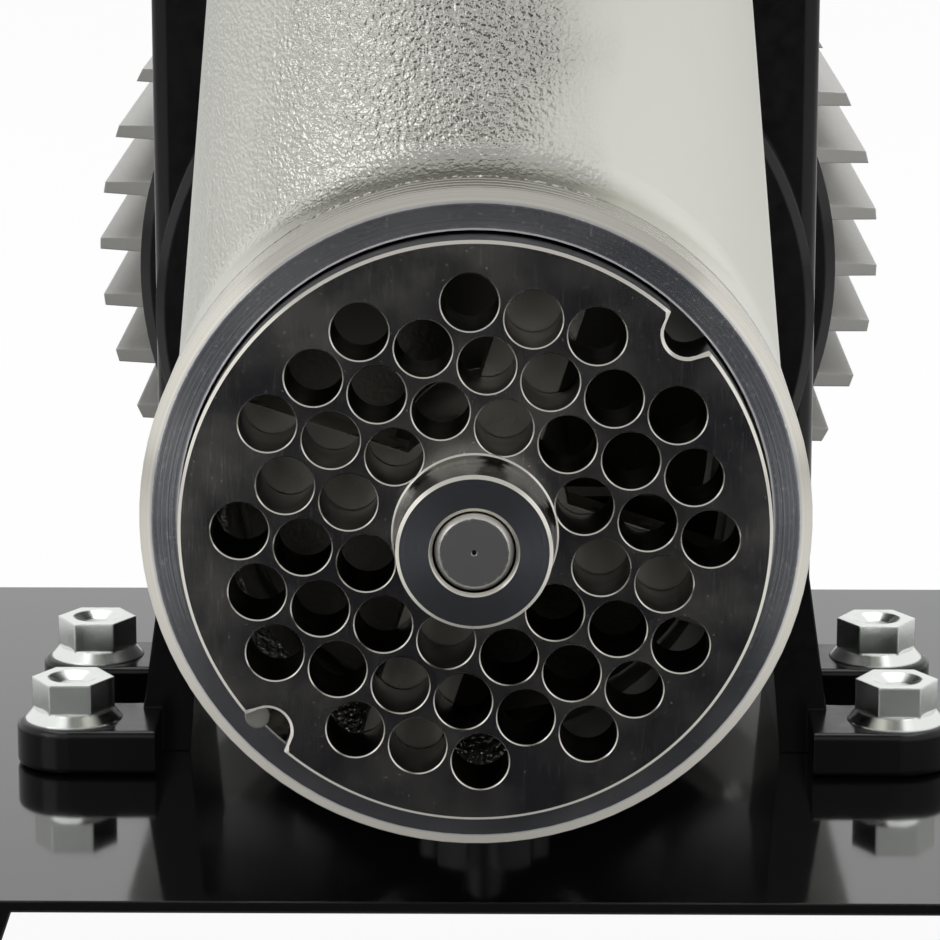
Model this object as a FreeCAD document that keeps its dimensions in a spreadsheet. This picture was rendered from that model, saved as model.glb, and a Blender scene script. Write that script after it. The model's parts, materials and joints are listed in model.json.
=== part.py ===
import FreeCAD, Part
import math
import os
import types

import Sketcher
from FreeCAD import Placement, Rotation, Vector

# Bench meat grinder, size 22, millimetres. The front faces -Y, +Z is up, the stand rests on Z = 0.
# Pieces are drawn about the auger axis, with Y counted from the front face of the grinding plate,
# and each finished piece is then placed by the same shift onto the stand.

SIZES = {
    # Clearances
    "fit_gap": 0.3,
    "seat_gap": 0.02,
    "run_gap": 0.05,
    # Stand
    "axis_over_plate": 83.5,
    "stand_width": 250.0,
    "stand_depth": 210.0,
    "stand_front": 91.0,
    "stand_sheet": 2.0,
    "leg_height": 36.0,
    "front_gap_half": 77.0,
    "side_gap_half": 66.0,
    "leg_slope": 18.5,
    "leg_tab": 27.0,
    "foot_radius": 12.0,
    "foot_height": 10.0,
    "foot_screw_radius": 2.5,
    "foot_screw_head": 2.0,
    # Grinding plate
    "plate_radius": 41.0,
    "plate_thickness": 12.0,
    "plate_proud": 6.5,
    "plate_edge": 0.7,
    "plate_turn": 14.8,
    "hole_radius": 4.0,
    "hole_pitch": 9.0,
    "notch_radius": 3.3,
    "notch_centre": 40.4,
    "notch_turn": 45.8,
    "hub_radius": 11.4,
    "hub_nose": 10.7,
    "hub_length": 10.5,
    "stud_radius": 5.4,
    "stud_bore_gap": 0.3,
    "stud_shank_rise": 1.0,
    "stud_shank_length": 18.0,
    "plate_pin_radius": 1.75,
    # Knife and auger
    "knife_thickness": 8.0,
    "knife_radius": 37.5,
    "knife_arm": 11.0,
    "knife_hub": 13.0,
    "knife_turn": 18.0,
    "knife_square": 11.0,
    "auger_radius": 34.8,
    "auger_core_front": 12.0,
    "auger_core_rear": 17.0,
    "auger_pitch": 36.0,
    "flight_root": 7.0,
    "flight_tip": 4.0,
    "journal_radius": 13.0,
    "tang_square": 15.0,
    "tang_length": 15.0,
    "washer_thickness": 2.0,
    "washer_radius": 24.0,
    "bush_wall": 3.0,
    # Grinder head
    "bore_radius": 41.4,
    "chamber_radius": 36.0,
    "knife_room": 18.0,
    "chamber_length": 135.5,
    "rim_face_radius": 45.1,
    "barrel_radius": 47.0,
    "thread_length": 11.5,
    "thread_relief": 2.0,
    "relief_depth": 1.6,
    "neck_setback": 61.5,
    "neck_height": 112.0,
    "neck_top_radius": 36.8,
    "neck_lip_radius": 41.0,
    "neck_lip_height": 6.0,
    "neck_fillet": 5.0,
    "throat_top": 31.0,
    "throat_foot": 33.0,
    "barrel_taper_from": 120.0,
    "waist_radius": 40.5,
    "shoulder_radius": 48.0,
    "shoulder_thickness": 8.0,
    "spigot_radius": 40.0,
    "spigot_wall": 9.0,
    "spigot_length": 17.5,
    "head_reach": 161.5,
    # Feed tray
    "tray_width": 240.0,
    "tray_depth": 220.0,
    "tray_height": 46.0,
    "tray_corner": 32.0,
    "tray_sheet": 1.5,
    "tray_rim": 7.0,
    "tray_collar": 15.0,
    # Gearbox housing
    "collar_radius": 58.6,
    "collar_length": 10.0,
    "collar_chamfer": 1.6,
    "socket_depth": 18.0,
    "housing_half": 59.4,
    "housing_top": 95.0,
    "housing_corner": 25.0,
    "housing_edge": 2.7,
    "housing_wall": 6.5,
    "housing_front_wall": 10.0,
    "housing_depth": 53.0,
    "cavity_floor": 44.0,
    "arch_top": 56.0,
    "arch_half": 52.0,
    "leg_flare": 4.6,
    "flare_height": 32.0,
    "lug_reach": 75.0,
    "lug_radius": 10.3,
    "lug_height": 8.2,
    "lug_edge": 1.2,
    "lug_front": 4.0,
    "lug_spacing": 44.0,
    "bolt_radius": 4.0,
    "bolt_hole_gap": 0.4,
    "bolt_flat": 13.0,
    "bolt_flange_radius": 8.95,
    "bolt_flange": 2.0,
    "bolt_head": 7.6,
    "nut_height": 7.0,
    "cover_thickness": 8.0,
    "cover_screw_radius": 2.5,
    "cover_screw_depth": 12.0,
    "plug_radius": 7.0,
    # Clamping knob
    "clamp_radius": 4.0,
    "clamp_reach": 66.0,
    "knob_radius": 12.0,
    "knob_height": 13.0,
    # Gears and shafts
    "pressure_angle": 25.0,
    "backlash": 0.16,
    "module_fast": 1.5,
    "teeth_motor": 13.0,
    "teeth_lay_gear": 53.0,
    "module_slow": 2.0,
    "teeth_lay_pinion": 12.0,
    "teeth_output": 33.0,
    "face_fast": 8.0,
    "face_slow": 10.0,
    "output_radius": 12.5,
    "output_bearing_radius": 21.0,
    "output_bearing_width": 8.0,
    "output_boss": 27.0,
    "output_head": 19.0,
    "gear_seat_radius": 11.0,
    "key_width": 5.0,
    "seal_width": 4.0,
    "circlip_width": 1.2,
    "circlip_rise": 3.0,
    "lay_end_radius": 7.5,
    "lay_core_radius": 9.0,
    "lay_bearing_radius": 16.0,
    "lay_bearing_width": 6.5,
    "lay_boss": 20.5,
    "gear_space": 1.2,
    "stage_space": 3.0,
    "rotor_nose": 5.0,
    "rotor_end": 7.5,
    "rotor_body": 10.0,
    "cover_bore": 13.0,
    # Motor
    "bell_radius": 67.8,
    "bell_length": 23.0,
    "bell_edge": 2.0,
    "bell_web": 7.0,
    "bell_screw_circle": 29.5,
    "motor_bearing_radius": 17.5,
    "motor_bearing_width": 10.0,
    "frame_bore": 60.0,
    "frame_wall": 6.0,
    "frame_length": 96.0,
    "fin_radius": 78.0,
    "fin_pitch": 11.4,
    "fin_shift": 4.5,
    "fin_tip": 2.0,
    "fin_root": 3.2,
    "fin_inset": 3.0,
    "frame_turn": 1.9,
    "spigot_step": 3.0,
    "core_length": 50.0,
    "core_inset": 20.0,
    "core_bore": 36.0,
    "stator_slot": 3.2,
    "air_gap": 0.4,
    "winding_inner": 40.0,
    "winding_outer": 53.0,
    "winding_length": 14.0,
    "cage_ring": 6.0,
    "cage_radius": 33.0,
    "tie_radius": 2.2,
    "tie_circle": 57.4,
    "tie_head": 3.8,
    "tie_thread": 10.0,
    "rear_bell": 12.0,
    "rear_lug": 15.0,
    "fan_radius": 60.0,
    "fan_width": 16.0,
    "fan_blade": 2.4,
    "fan_hub": 11.0,
    "fan_shaft": 6.0,
    "fan_space": 4.5,
    "cowl_wall": 1.6,
    "cowl_length": 48.0,
    "cowl_corner": 8.0,
    "grille_slot": 5.0,
    "cowl_screw_radius": 2.0,
    # Terminal box
    "box_half": 45.0,
    "box_depth": 80.0,
    "box_front": 8.0,
    "box_height": 42.0,
    "box_wall": 2.5,
    "box_base": 80.0,
    "pad_half": 26.0,
    "lid_height": 4.0,
    "lid_lip": 3.0,
    "lid_screw_radius": 2.0,
    "lid_screw_length": 14.0,
    "wire_hole": 6.0,
    "wire_hole_x": 12.0,
    "wire_hole_inset": 16.0,
    "capacitor_radius": 16.0,
    "capacitor_length": 62.0,
    "capacitor_inset": 12.0,
    "capacitor_cap": 4.0,
    "capacitor_pin": 1.5,
    "switch_length": 30.0,
    "switch_height": 22.0,
    "switch_depth": 20.0,
    "switch_flange": 2.0,
    "switch_rim": 2.5,
    "rocker_proud": 4.0,
    "rocker_tilt": 8.0,
    "gland_radius": 9.0,
    "gland_length": 16.0,
    "gland_bore": 4.0,
}


class Size:
    """A length and the sheet expression that gives it."""

    def __init__(self, value, text):
        self.value = float(value)
        self.text = text

    def __add__(self, other):
        other = as_size(other)
        return Size(self.value + other.value, f"({self.text} + {other.text})")

    def __sub__(self, other):
        other = as_size(other)
        return Size(self.value - other.value, f"({self.text} - {other.text})")

    def __mul__(self, other):
        other = as_size(other)
        return Size(self.value * other.value, f"({self.text} * {other.text})")

    def __truediv__(self, other):
        other = as_size(other)
        return Size(self.value / other.value, f"({self.text} / {other.text})")

    def __neg__(self):
        return Size(-self.value, f"(0 - {self.text})")

    def __rsub__(self, other):
        return as_size(other) - self

    __radd__ = __add__
    __rmul__ = __mul__


def as_size(value):
    return value if isinstance(value, Size) else Size(value, f"({float(value)!r})")


def trig(name, degrees):
    """Sine, cosine or tangent of an angle in degrees."""
    degrees = as_size(degrees)
    turn = getattr(math, name)(math.radians(degrees.value))
    return Size(turn, f"{name}({degrees.text} * 1 deg)")


def root(square):
    return Size(math.sqrt(square.value), f"sqrt({square.text})")


def write_sheet(document):
    """Fills the sheet with one row per size and gives back the sizes by name."""
    sheet = document.addObject("Spreadsheet::Sheet", "Sizes")
    for row, (name, value) in enumerate(SIZES.items(), start=1):
        sheet.set(f"A{row}", name)
        sheet.set(f"B{row}", str(value))
        sheet.setAlias(f"B{row}", name)
    document.recompute()
    return types.SimpleNamespace(**{name: Size(value, f"Sizes.{name}") for name, value in SIZES.items()})


doc = FreeCAD.newDocument("meat_grinder")
d = write_sheet(doc)
finished = []

# Stations along the auger axis, from the plate's front face towards the motor
rim = d.plate_proud
knife_front = d.plate_thickness + d.fit_gap
knife_back = knife_front + d.knife_thickness
auger_front = knife_back + d.seat_gap
chamber_back = rim + d.chamber_length
neck_y = rim + d.neck_setback
collar_front = rim + d.head_reach
shoulder_back = collar_front - d.fit_gap
shoulder_front = shoulder_back - d.shoulder_thickness
spigot_back = collar_front + d.spigot_length
washer_front = chamber_back - d.washer_thickness
auger_back = washer_front - d.run_gap
tang_back = shoulder_back + d.tang_length
housing_front = collar_front + d.collar_length
socket_floor = collar_front + d.socket_depth
wall_inside = housing_front + d.housing_front_wall
seal_front = socket_floor + d.fit_gap
bearing_one = seal_front + d.seal_width + d.seat_gap
bearing_two = bearing_one + d.output_bearing_width + d.seat_gap
boss_back = bearing_two + d.output_bearing_width
slow_front = boss_back + d.gear_space
slow_back = slow_front + d.face_slow
output_end = slow_back + d.circlip_width + d.gear_space
fast_front = slow_back + d.stage_space + d.gear_space
fast_back = fast_front + d.face_fast
housing_back = housing_front + d.housing_depth
cover_back = housing_back + d.cover_thickness
bell_back = cover_back + d.bell_length
frame_back = bell_back + d.frame_length
core_front = bell_back + d.core_inset
core_back = core_front + d.core_length
rear_bell_back = frame_back + d.rear_bell
fan_front = rear_bell_back + d.fan_space
fan_back = fan_front + d.fan_width
cowl_front = frame_back - d.fit_gap
cowl_back = cowl_front + d.cowl_length
lay_bearing_front = boss_back - d.lay_bearing_width
motor_bearing_front = cover_back + d.bell_web
rear_bearing_front = frame_back + d.fit_gap

# Heights about the auger axis
plate_top = -d.axis_over_plate
lug_top = plate_top + d.lug_height
centre_distance = (d.module_slow * (d.teeth_lay_pinion + d.teeth_output)) / 2.0
motor_drop = (d.module_fast * (d.teeth_motor + d.teeth_lay_gear)) / 2.0 - centre_distance
tray_floor = d.neck_height + d.fit_gap
tray_front = neck_y - d.tray_depth / 2.0
box_front = bell_back + d.box_front
box_back = box_front + d.box_depth
box_top = d.box_base + d.box_height

# The whole grinder stands on Z = 0, with the origin under the middle of its length
axis_height = d.axis_over_plate + d.leg_height + d.foot_height
middle = (tray_front + cowl_back) / 2.0


def bind(item, **sizes):
    """Ties properties of an object to the sheet."""
    for name, size in sizes.items():
        item.setExpression(name, as_size(size).text)
    return item


def place(item, x=0.0, y=0.0, z=0.0, turn=None):
    """Puts an object at a point, tied to the sheet."""
    x, y, z = as_size(x), as_size(y), as_size(z)
    item.Placement = Placement(Vector(x.value, y.value, z.value), turn or Rotation())
    for axis, size in (("x", x), ("y", y), ("z", z)):
        item.setExpression(f"Placement.Base.{axis}", size.text)
    return item


AXIAL = Rotation(Vector(0, 0, 1), 90)
# The head is turned with its seam on top, under the neck
SEAM_UP = Rotation(Vector(1, 1, 1), 120)
ALONG = {
    "X": Rotation(Vector(0, 1, 0), 90),
    "Y": Rotation(Vector(1, 0, 0), -90),
    "Z": Rotation(),
}


def finish(item, label, turn=None, x=0.0, y=0.0, z=0.0):
    """Names a finished piece and sets it on the stand."""
    item.Label = label
    place(item, as_size(x), y - middle, z + axis_height, turn)
    finished.append(item)
    return item


def finish_motor(item, label, turn=None, x=0.0, y=0.0, z=0.0):
    """Finishes a piece drawn about the motor's axis, which lies below the auger's."""
    finish(item, label, turn, x, y, z - motor_drop)


def block(name, x, y, z):
    """Box between two values on each axis."""
    item = doc.addObject("Part::Box", name)
    (x0, x1), (y0, y1), (z0, z1) = [[as_size(v) for v in pair] for pair in (x, y, z)]
    bind(item, Length=x1 - x0, Width=y1 - y0, Height=z1 - z0)
    return place(item, x0, y0, z0)


def rod(name, radius, start, length, axis="Y", x=0.0, z=0.0, y=0.0):
    """Cylinder along one axis; start counts along that axis."""
    item = doc.addObject("Part::Cylinder", name)
    bind(item, Radius=radius, Height=length)
    at = {"X": (start, y, z), "Y": (x, start, z), "Z": (x, y, start)}[axis]
    return place(item, *at, ALONG[axis])


def cone(name, radius_one, radius_two, start, length, axis="Y", x=0.0, z=0.0, y=0.0):
    item = doc.addObject("Part::Cone", name)
    bind(item, Radius1=radius_one, Radius2=radius_two, Height=length)
    at = {"X": (start, y, z), "Y": (x, start, z), "Z": (x, y, start)}[axis]
    return place(item, *at, ALONG[axis])


def hexagon(name, across_flats, start, length, axis="Z", x=0.0, y=0.0, z=0.0):
    item = doc.addObject("Part::Prism", name)
    item.Polygon = 6
    bind(item, Circumradius=across_flats / math.sqrt(3.0), Height=length)
    at = {"X": (start, y, z), "Y": (x, start, z), "Z": (x, y, start)}[axis]
    return place(item, *at, ALONG[axis])


def fuse(name, items):
    if len(items) == 1:
        return items[0]
    item = doc.addObject("Part::MultiFuse", name)
    item.Shapes = items
    item.Refine = True
    return item


def cut(name, base, tools):
    item = doc.addObject("Part::Cut", name)
    item.Base = base
    item.Tool = fuse(name + "_tools", tools)
    item.Refine = True
    return item


def common(name, one, two):
    item = doc.addObject("Part::Common", name)
    item.Base = one
    item.Tool = two
    return item


def group(name, items):
    """Like pieces that share one node as separate solids."""
    item = doc.addObject("Part::Compound", name)
    item.Links = items
    return item


def origin_plane(body, role):
    return next(item for item in body.Origin.OriginFeatures if item.Role == role)


def new_sketch(body, role, name):
    sketch = body.newObject("Sketcher::SketchObject", name)
    sketch.AttachmentSupport = [(origin_plane(body, role), "")]
    sketch.MapMode = "FlatFace"
    return sketch


def hold(sketch, kind, *place_and_size):
    """Adds a dimension whose value follows the sheet."""
    *where, size = place_and_size
    number = sketch.addConstraint(Sketcher.Constraint(kind, *where, size.value))
    sketch.setExpression(f"Constraints[{number}]", size.text)


ORIGIN = (-1, 1)
START, END, CENTRE = 1, 2, 3


def draw_outline(sketch, points):
    """Closed line through points, each corner tied to the sheet."""
    points = [(as_size(u), as_size(v)) for u, v in points]
    corners = [Vector(u.value, v.value, 0) for u, v in points]
    first = sketch.GeometryCount
    count = len(corners)
    for number, corner in enumerate(corners):
        sketch.addGeometry(Part.LineSegment(corner, corners[(number + 1) % count]), False)
    for number in range(count):
        following = first + (number + 1) % count
        sketch.addConstraint(Sketcher.Constraint("Coincident", first + number, END, following, START))
    for number, (u, v) in enumerate(points):
        hold(sketch, "DistanceX", *ORIGIN, first + number, START, u)
        hold(sketch, "DistanceY", *ORIGIN, first + number, START, v)


def draw_circle(sketch, u, v, radius):
    u, v, radius = as_size(u), as_size(v), as_size(radius)
    circle = Part.Circle(Vector(u.value, v.value, 0), Vector(0, 0, 1), radius.value)
    number = sketch.addGeometry(circle, False)
    hold(sketch, "DistanceX", *ORIGIN, number, CENTRE, u)
    hold(sketch, "DistanceY", *ORIGIN, number, CENTRE, v)
    hold(sketch, "Radius", number, radius)


def turned(name, points):
    """Body turned about the axis from a profile of (station, radius) corners."""
    body = doc.addObject("PartDesign::Body", name)
    sketch = new_sketch(body, "XY_Plane", name + "_profile")
    draw_outline(sketch, points)
    turn = body.newObject("PartDesign::Revolution", name + "_turn")
    turn.Profile = sketch
    turn.ReferenceAxis = (sketch, ["H_Axis"])
    turn.Angle = 360
    return body


def ring(name, start, length, inner, outer):
    """Plain turned ring."""
    back = start + length
    return turned(name, [(start, inner), (start, outer), (back, outer), (back, inner)])


def padded(name, role, points, length, reverse=False):
    """Body raised from a closed outline on one of its own planes."""
    body = doc.addObject("PartDesign::Body", name)
    sketch = new_sketch(body, role, name + "_outline")
    draw_outline(sketch, points)
    pad = body.newObject("PartDesign::Pad", name + "_pad")
    pad.Profile = sketch
    bind(pad, Length=length)
    pad.Reversed = reverse
    return body


def through_pocket(body, sketch, name):
    """Cuts a sketch right through its body, on both sides of the sketch."""
    before = body.Shape.Volume
    pocket = body.newObject("PartDesign::Pocket", name)
    pocket.Profile = sketch
    pocket.Type = "ThroughAll"
    pocket.Midplane = True
    doc.recompute()
    if body.Shape.Volume > before - 1e-6:
        raise RuntimeError(f"{name} cuts nothing")
    return pocket


def round_edges(body, name, radius, wanted):
    """Rounds the edges of a body's tip that a test picks."""
    doc.recompute()
    tip = body.Tip
    names = [f"Edge{i}" for i, edge in enumerate(tip.Shape.Edges, start=1) if wanted(edge)]
    fillet = body.newObject("PartDesign::Fillet", name)
    fillet.Base = (tip, names)
    bind(fillet, Radius=radius)
    return fillet


def filleted(name, base, radius, wanted):
    """Body on another solid with the edges that a test picks rounded."""
    body = doc.addObject("PartDesign::Body", name)
    body.BaseFeature = base
    round_edges(body, name + "_fillet", radius, wanted)
    return body


def mirrored(points):
    """Outline of the right half, read upwards, with the left half added."""
    return points + [(-u, v) for u, v in reversed(points)]


def flange_bolt(name, x, y, seat, length):
    """Hexagon bolt with a dished head and a flange, standing head up on its seat."""
    flange_top = seat + d.bolt_flange
    head_top = seat + d.bolt_head
    dish = cone(name + "_dish", d.bolt_flat * 0.18, d.bolt_flat * 0.36, head_top - 1.2, as_size(1.25), "Z", x, y=y)
    solid = fuse(name + "_body", [
        cone(name + "_flange", d.bolt_flange_radius, d.bolt_flat * 0.56, seat, d.bolt_flange, "Z", x, y=y),
        hexagon(name + "_hex", d.bolt_flat, flange_top, d.bolt_head - d.bolt_flange, "Z", x, y),
        rod(name + "_shank", d.bolt_radius, seat - length, length, "Z", x, y=y),
    ])
    return cut(name, solid, [dish])


def screw(name, radius, seat, length, head, axis, x=0.0, y=0.0, z=0.0):
    """Pan head screw; it points towards lower values on its axis from its seat."""
    shank = rod(name + "_shank", radius, seat - length, length, axis, x, z, y)
    cap = rod(name + "_head", head, seat, radius * 1.2, axis, x, z, y)
    slot_at = seat + radius * 0.8
    width, reach = radius * 0.4, head * 0.7
    spans = {
        "X": ((slot_at, seat + radius * 2.0), (y - width, y + width), (z - reach, z + reach)),
        "Y": ((x - reach, x + reach), (slot_at, seat + radius * 2.0), (z - width, z + width)),
        "Z": ((x - reach, x + reach), (y - width, y + width), (slot_at, seat + radius * 2.0)),
    }[axis]
    return cut(name, fuse(name + "_body", [shank, cap]), [block(name + "_slot", *spans)])


def square(name, side, start, length, x=0.0, z=0.0):
    """Square bar along the axis."""
    half = side / 2.0
    return block(name, (x - half, x + half), (start, start + length), (z - half, z + half))


def involute_outline(module, teeth, turn_degrees):
    """Corners of a spur gear in the plane across its axis, first tooth turned from straight up."""
    pitch = module * teeth / 2.0
    tip, foot = pitch + module, pitch - 1.25 * module
    angle = math.radians(d.pressure_angle.value)
    base = pitch * math.cos(angle)
    half_pitch = (math.pi * module / 2.0 - d.backlash.value) / (2.0 * pitch)

    def half_angle(radius):
        """Half the tooth's angle at a radius."""
        if radius <= base:
            radius = base
        lean = math.acos(base / radius)
        return half_pitch + math.tan(angle) - angle - (math.tan(lean) - lean)

    start = max(foot, base)
    steps = 3
    flank = [start + (tip - start) * step / steps for step in range(steps + 1)]
    corners = []
    for tooth in range(int(teeth)):
        middle_turn = math.radians(turn_degrees) + 2.0 * math.pi * tooth / teeth
        side = [(foot, half_angle(start))] if foot < start else []
        side += [(radius, half_angle(radius)) for radius in flank]
        for radius, half in side:
            corners.append((radius, middle_turn - half))
        for radius, half in reversed(side):
            corners.append((radius, middle_turn + half))
    return [Vector(radius * math.sin(turn), 0, radius * math.cos(turn)) for radius, turn in corners]


def gear(name, module, teeth, front, width, bore, turn_degrees=0.0):
    """Spur gear with a round bore, as one solid from its tooth outline."""
    corners = involute_outline(module.value, teeth.value, turn_degrees)
    face = Part.Face(Part.makePolygon(corners + corners[:1]))
    solid = face.extrude(Vector(0, width.value, 0))
    hole = Part.makeCylinder(bore.value, width.value, Vector(), Vector(0, 1, 0))
    item = doc.addObject("Part::Feature", name)
    item.Shape = solid.cut(hole)
    place(item, 0.0, front, 0.0)
    return item


def around(count, first=0.0):
    """Turns, in degrees clockwise from straight up, of pieces spaced round the axis."""
    return [first + 360.0 * number / count for number in range(count)]


def clockwise(radius, degrees):
    """X and Z of a point at a turn clockwise from straight up, seen from the front."""
    return radius * trig("sin", degrees), radius * trig("cos", degrees)


# Stand and feet


def build_stand():
    half = d.stand_width / 2.0
    back = d.stand_front + d.stand_depth
    foot = plate_top - d.leg_height
    sheet = d.stand_sheet
    spread = d.leg_height * trig("tan", d.leg_slope)
    under = plate_top - sheet
    shell = cut("stand_shell", block("stand_block", (-half, half), (d.stand_front, back), (foot, plate_top)), [
        block("stand_hollow", (sheet - half, half - sheet), (d.stand_front + sheet, back - sheet),
              (foot - sheet, under))])
    # The aprons are cut back to four tapering corner legs
    gap = d.front_gap_half
    opening = [(gap, under), (gap + spread, foot - 1.0)]
    front_gap = padded("stand_front_gap", "XZ_Plane", mirrored(opening), back + half, True)
    side = d.side_gap_half
    opening = [(side, under), (side + spread, foot - 1.0)]
    side_gap = padded("stand_side_gap", "YZ_Plane", mirrored(opening), d.stand_width * 2.0)
    place(side_gap, -d.stand_width, d.stand_front + d.stand_depth / 2.0, 0.0)
    legs = cut("stand_legs", shell, [front_gap, side_gap])
    tabs, holes = [], []
    for number, (x, y) in enumerate(foot_places()):
        reach = d.leg_tab / 2.0
        tabs.append(block(f"stand_tab{number}", (x - reach, x + reach), (y - reach, y + reach),
                          (foot, foot + sheet)))
        holes.append(rod(f"stand_tab_hole{number}", d.foot_screw_radius + d.fit_gap, foot - 1.0,
                         sheet + 2.0, "Z", x, y=y))
    for number, (x, y) in enumerate(lug_places()):
        holes.append(rod(f"stand_bolt_hole{number}", d.bolt_radius + d.bolt_hole_gap, under - 1.0,
                         sheet + 2.0, "Z", x, y=y))
    finish(cut("base_stand", fuse("stand_solid", [legs] + tabs), holes), "base_stand")


def foot_places():
    """Middles of the four tabs, in the corners of the legs."""
    reach = d.leg_tab / 2.0
    x = d.stand_width / 2.0 - reach
    front, back = d.stand_front + reach, d.stand_front + d.stand_depth - reach
    return [(-x, front), (x, front), (-x, back), (x, back)]


def build_feet():
    foot = plate_top - d.leg_height
    floor = foot - d.foot_height
    screw_head = d.foot_screw_radius * 1.8
    feet, screws, nuts = [], [], []
    for number, (x, y) in enumerate(foot_places()):
        seat = floor + d.foot_height * 0.45
        pad = cone(f"foot_pad{number}", d.foot_radius * 0.85, d.foot_radius, floor, d.foot_height, "Z", x, y=y)
        well = rod(f"foot_well{number}", screw_head + 1.0, floor - 1.0, seat - floor + 1.0, "Z", x, y=y)
        bore = rod(f"foot_bore{number}", d.foot_screw_radius + d.run_gap, floor, d.foot_height + 1.0, "Z", x, y=y)
        feet.append(cut(f"rubber_foot{number}", pad, [well, bore]))
        top = foot + d.stand_sheet
        nut = hexagon(f"foot_nut{number}_hex", d.foot_screw_radius * 3.2, top, d.foot_screw_radius * 1.6, "Z", x, y)
        hole = rod(f"foot_nut{number}_bore", d.foot_screw_radius + d.seat_gap, top - 1.0,
                   d.foot_screw_radius * 1.6 + 2.0, "Z", x, y=y)
        nuts.append(cut(f"foot_nut{number}", nut, [hole]))
        shank = rod(f"foot_screw{number}_shank", d.foot_screw_radius, seat, top - seat + d.foot_screw_radius * 2.0,
                    "Z", x, y=y)
        head = rod(f"foot_screw{number}_head", screw_head, seat - d.foot_screw_head, d.foot_screw_head, "Z", x, y=y)
        screws.append(fuse(f"foot_screw{number}", [shank, head]))
    finish(group("rubber_feet", feet), "rubber_feet")
    finish(group("foot_screws", screws), "foot_screws")
    finish(group("foot_nuts", nuts), "foot_nuts")


# Grinding plate, knife and auger


def plate_holes():
    """Hexagonal lattice steps that keep a hole, clear of the hub and of the rim."""
    steps = range(-4, 5)
    kept = []
    for across in steps:
        for up in steps:
            ring_number = across * across + across * up + up * up
            if 3 <= ring_number <= 13:
                kept.append((across + up / 2.0, up * math.sqrt(3.0) / 2.0))
    return kept


def build_plate():
    back = d.plate_thickness
    bore = d.stud_radius + d.stud_bore_gap
    lead = d.plate_edge
    body = turned("grinding_plate", [
        (-d.hub_length, bore + lead), (-d.hub_length, d.hub_nose), (0.0, d.hub_radius),
        (0.0, d.plate_radius - lead), (lead, d.plate_radius), (back - lead, d.plate_radius),
        (back, d.plate_radius - lead), (back, bore), (lead - d.hub_length, bore)])
    doc.recompute()
    holes = new_sketch(body, "YZ_Plane", "plate_hole_pattern")
    for across, up in plate_holes():
        draw_circle(holes, d.hole_pitch * across, d.hole_pitch * up, d.hole_radius)
    holes.AttachmentOffset = Placement(Vector(), Rotation(Vector(0, 0, 1), d.plate_turn.value))
    holes.setExpression("AttachmentOffset.Rotation.Angle", d.plate_turn.text)
    through_pocket(body, holes, "plate_hole_cut")
    notches = new_sketch(body, "YZ_Plane", "plate_notch_pattern")
    for turn in (d.notch_turn, d.notch_turn + 180.0):
        x, z = clockwise(d.notch_centre, turn)
        draw_circle(notches, -x, z, d.notch_radius)
    through_pocket(body, notches, "plate_notch_cut")
    finish(body, "grinding_plate", AXIAL)


def plate_pin_place():
    """The pin bears on one side of the lower notch, half sunk in the bore."""
    play = d.notch_radius - d.plate_pin_radius - d.run_gap * 2.0
    return clockwise(d.bore_radius, d.notch_turn + 180.0 + play / d.bore_radius * math.degrees(1.0))


def build_plate_pin():
    x, z = plate_pin_place()
    pin = rod("plate_pin", d.plate_pin_radius, rim, d.plate_thickness, "Y", x, z)
    finish(pin, "plate_pin", ALONG["Y"], x, rim, z)


def build_knife():
    arms = []
    for number in range(2):
        half = d.knife_arm / 2.0
        bar = block(f"knife_bar{number}", (-d.knife_radius, d.knife_radius), (knife_front, knife_back), (-half, half))
        turn = Rotation(Vector(0, 1, 0), d.knife_turn.value + 90.0 * number)
        arms.append(bar)
        bar.Placement = Placement(turn.multVec(bar.Placement.Base), turn)
        for axis, size in turned_corner(-d.knife_radius, knife_front, -half, d.knife_turn + 90.0 * number):
            bar.setExpression(f"Placement.Base.{axis}", size.text)
        bar.setExpression("Placement.Rotation.Angle", (d.knife_turn + 90.0 * number).text)
    hub = rod("knife_hub", d.knife_hub, knife_front, d.knife_thickness)
    side = d.knife_square + d.run_gap * 2.0
    hole = square("knife_hole", side, knife_front - 1.0, d.knife_thickness + 2.0)
    finish(cut("knife", fuse("knife_body", arms + [hub]), [hole]), "knife")


def turned_corner(x, y, z, degrees):
    """Place of a corner turned about the Y axis."""
    sine, cosine = trig("sin", degrees), trig("cos", degrees)
    return (("x", x * cosine + z * sine), ("y", y), ("z", z * cosine - x * sine))


def build_auger_stud():
    """Front stud: plain pin in the plate hub, square for the knife, shank screwed into the auger."""
    nose = -d.hub_length
    lead = d.plate_edge
    shank = d.stud_radius + d.stud_shank_rise
    pin = turned("stud_pin", [
        (nose, 0.0), (nose, d.stud_radius - lead), (nose + lead, d.stud_radius), (knife_front, d.stud_radius),
        (knife_front, 0.0)])
    place(pin, 0.0, 0.0, 0.0, AXIAL)
    key = square("stud_square", d.knife_square, knife_front, d.knife_thickness)
    tail = rod("stud_shank", shank, knife_back, d.stud_shank_length)
    finish(fuse("auger_stud", [pin, key, tail]), "auger_stud")


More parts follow.
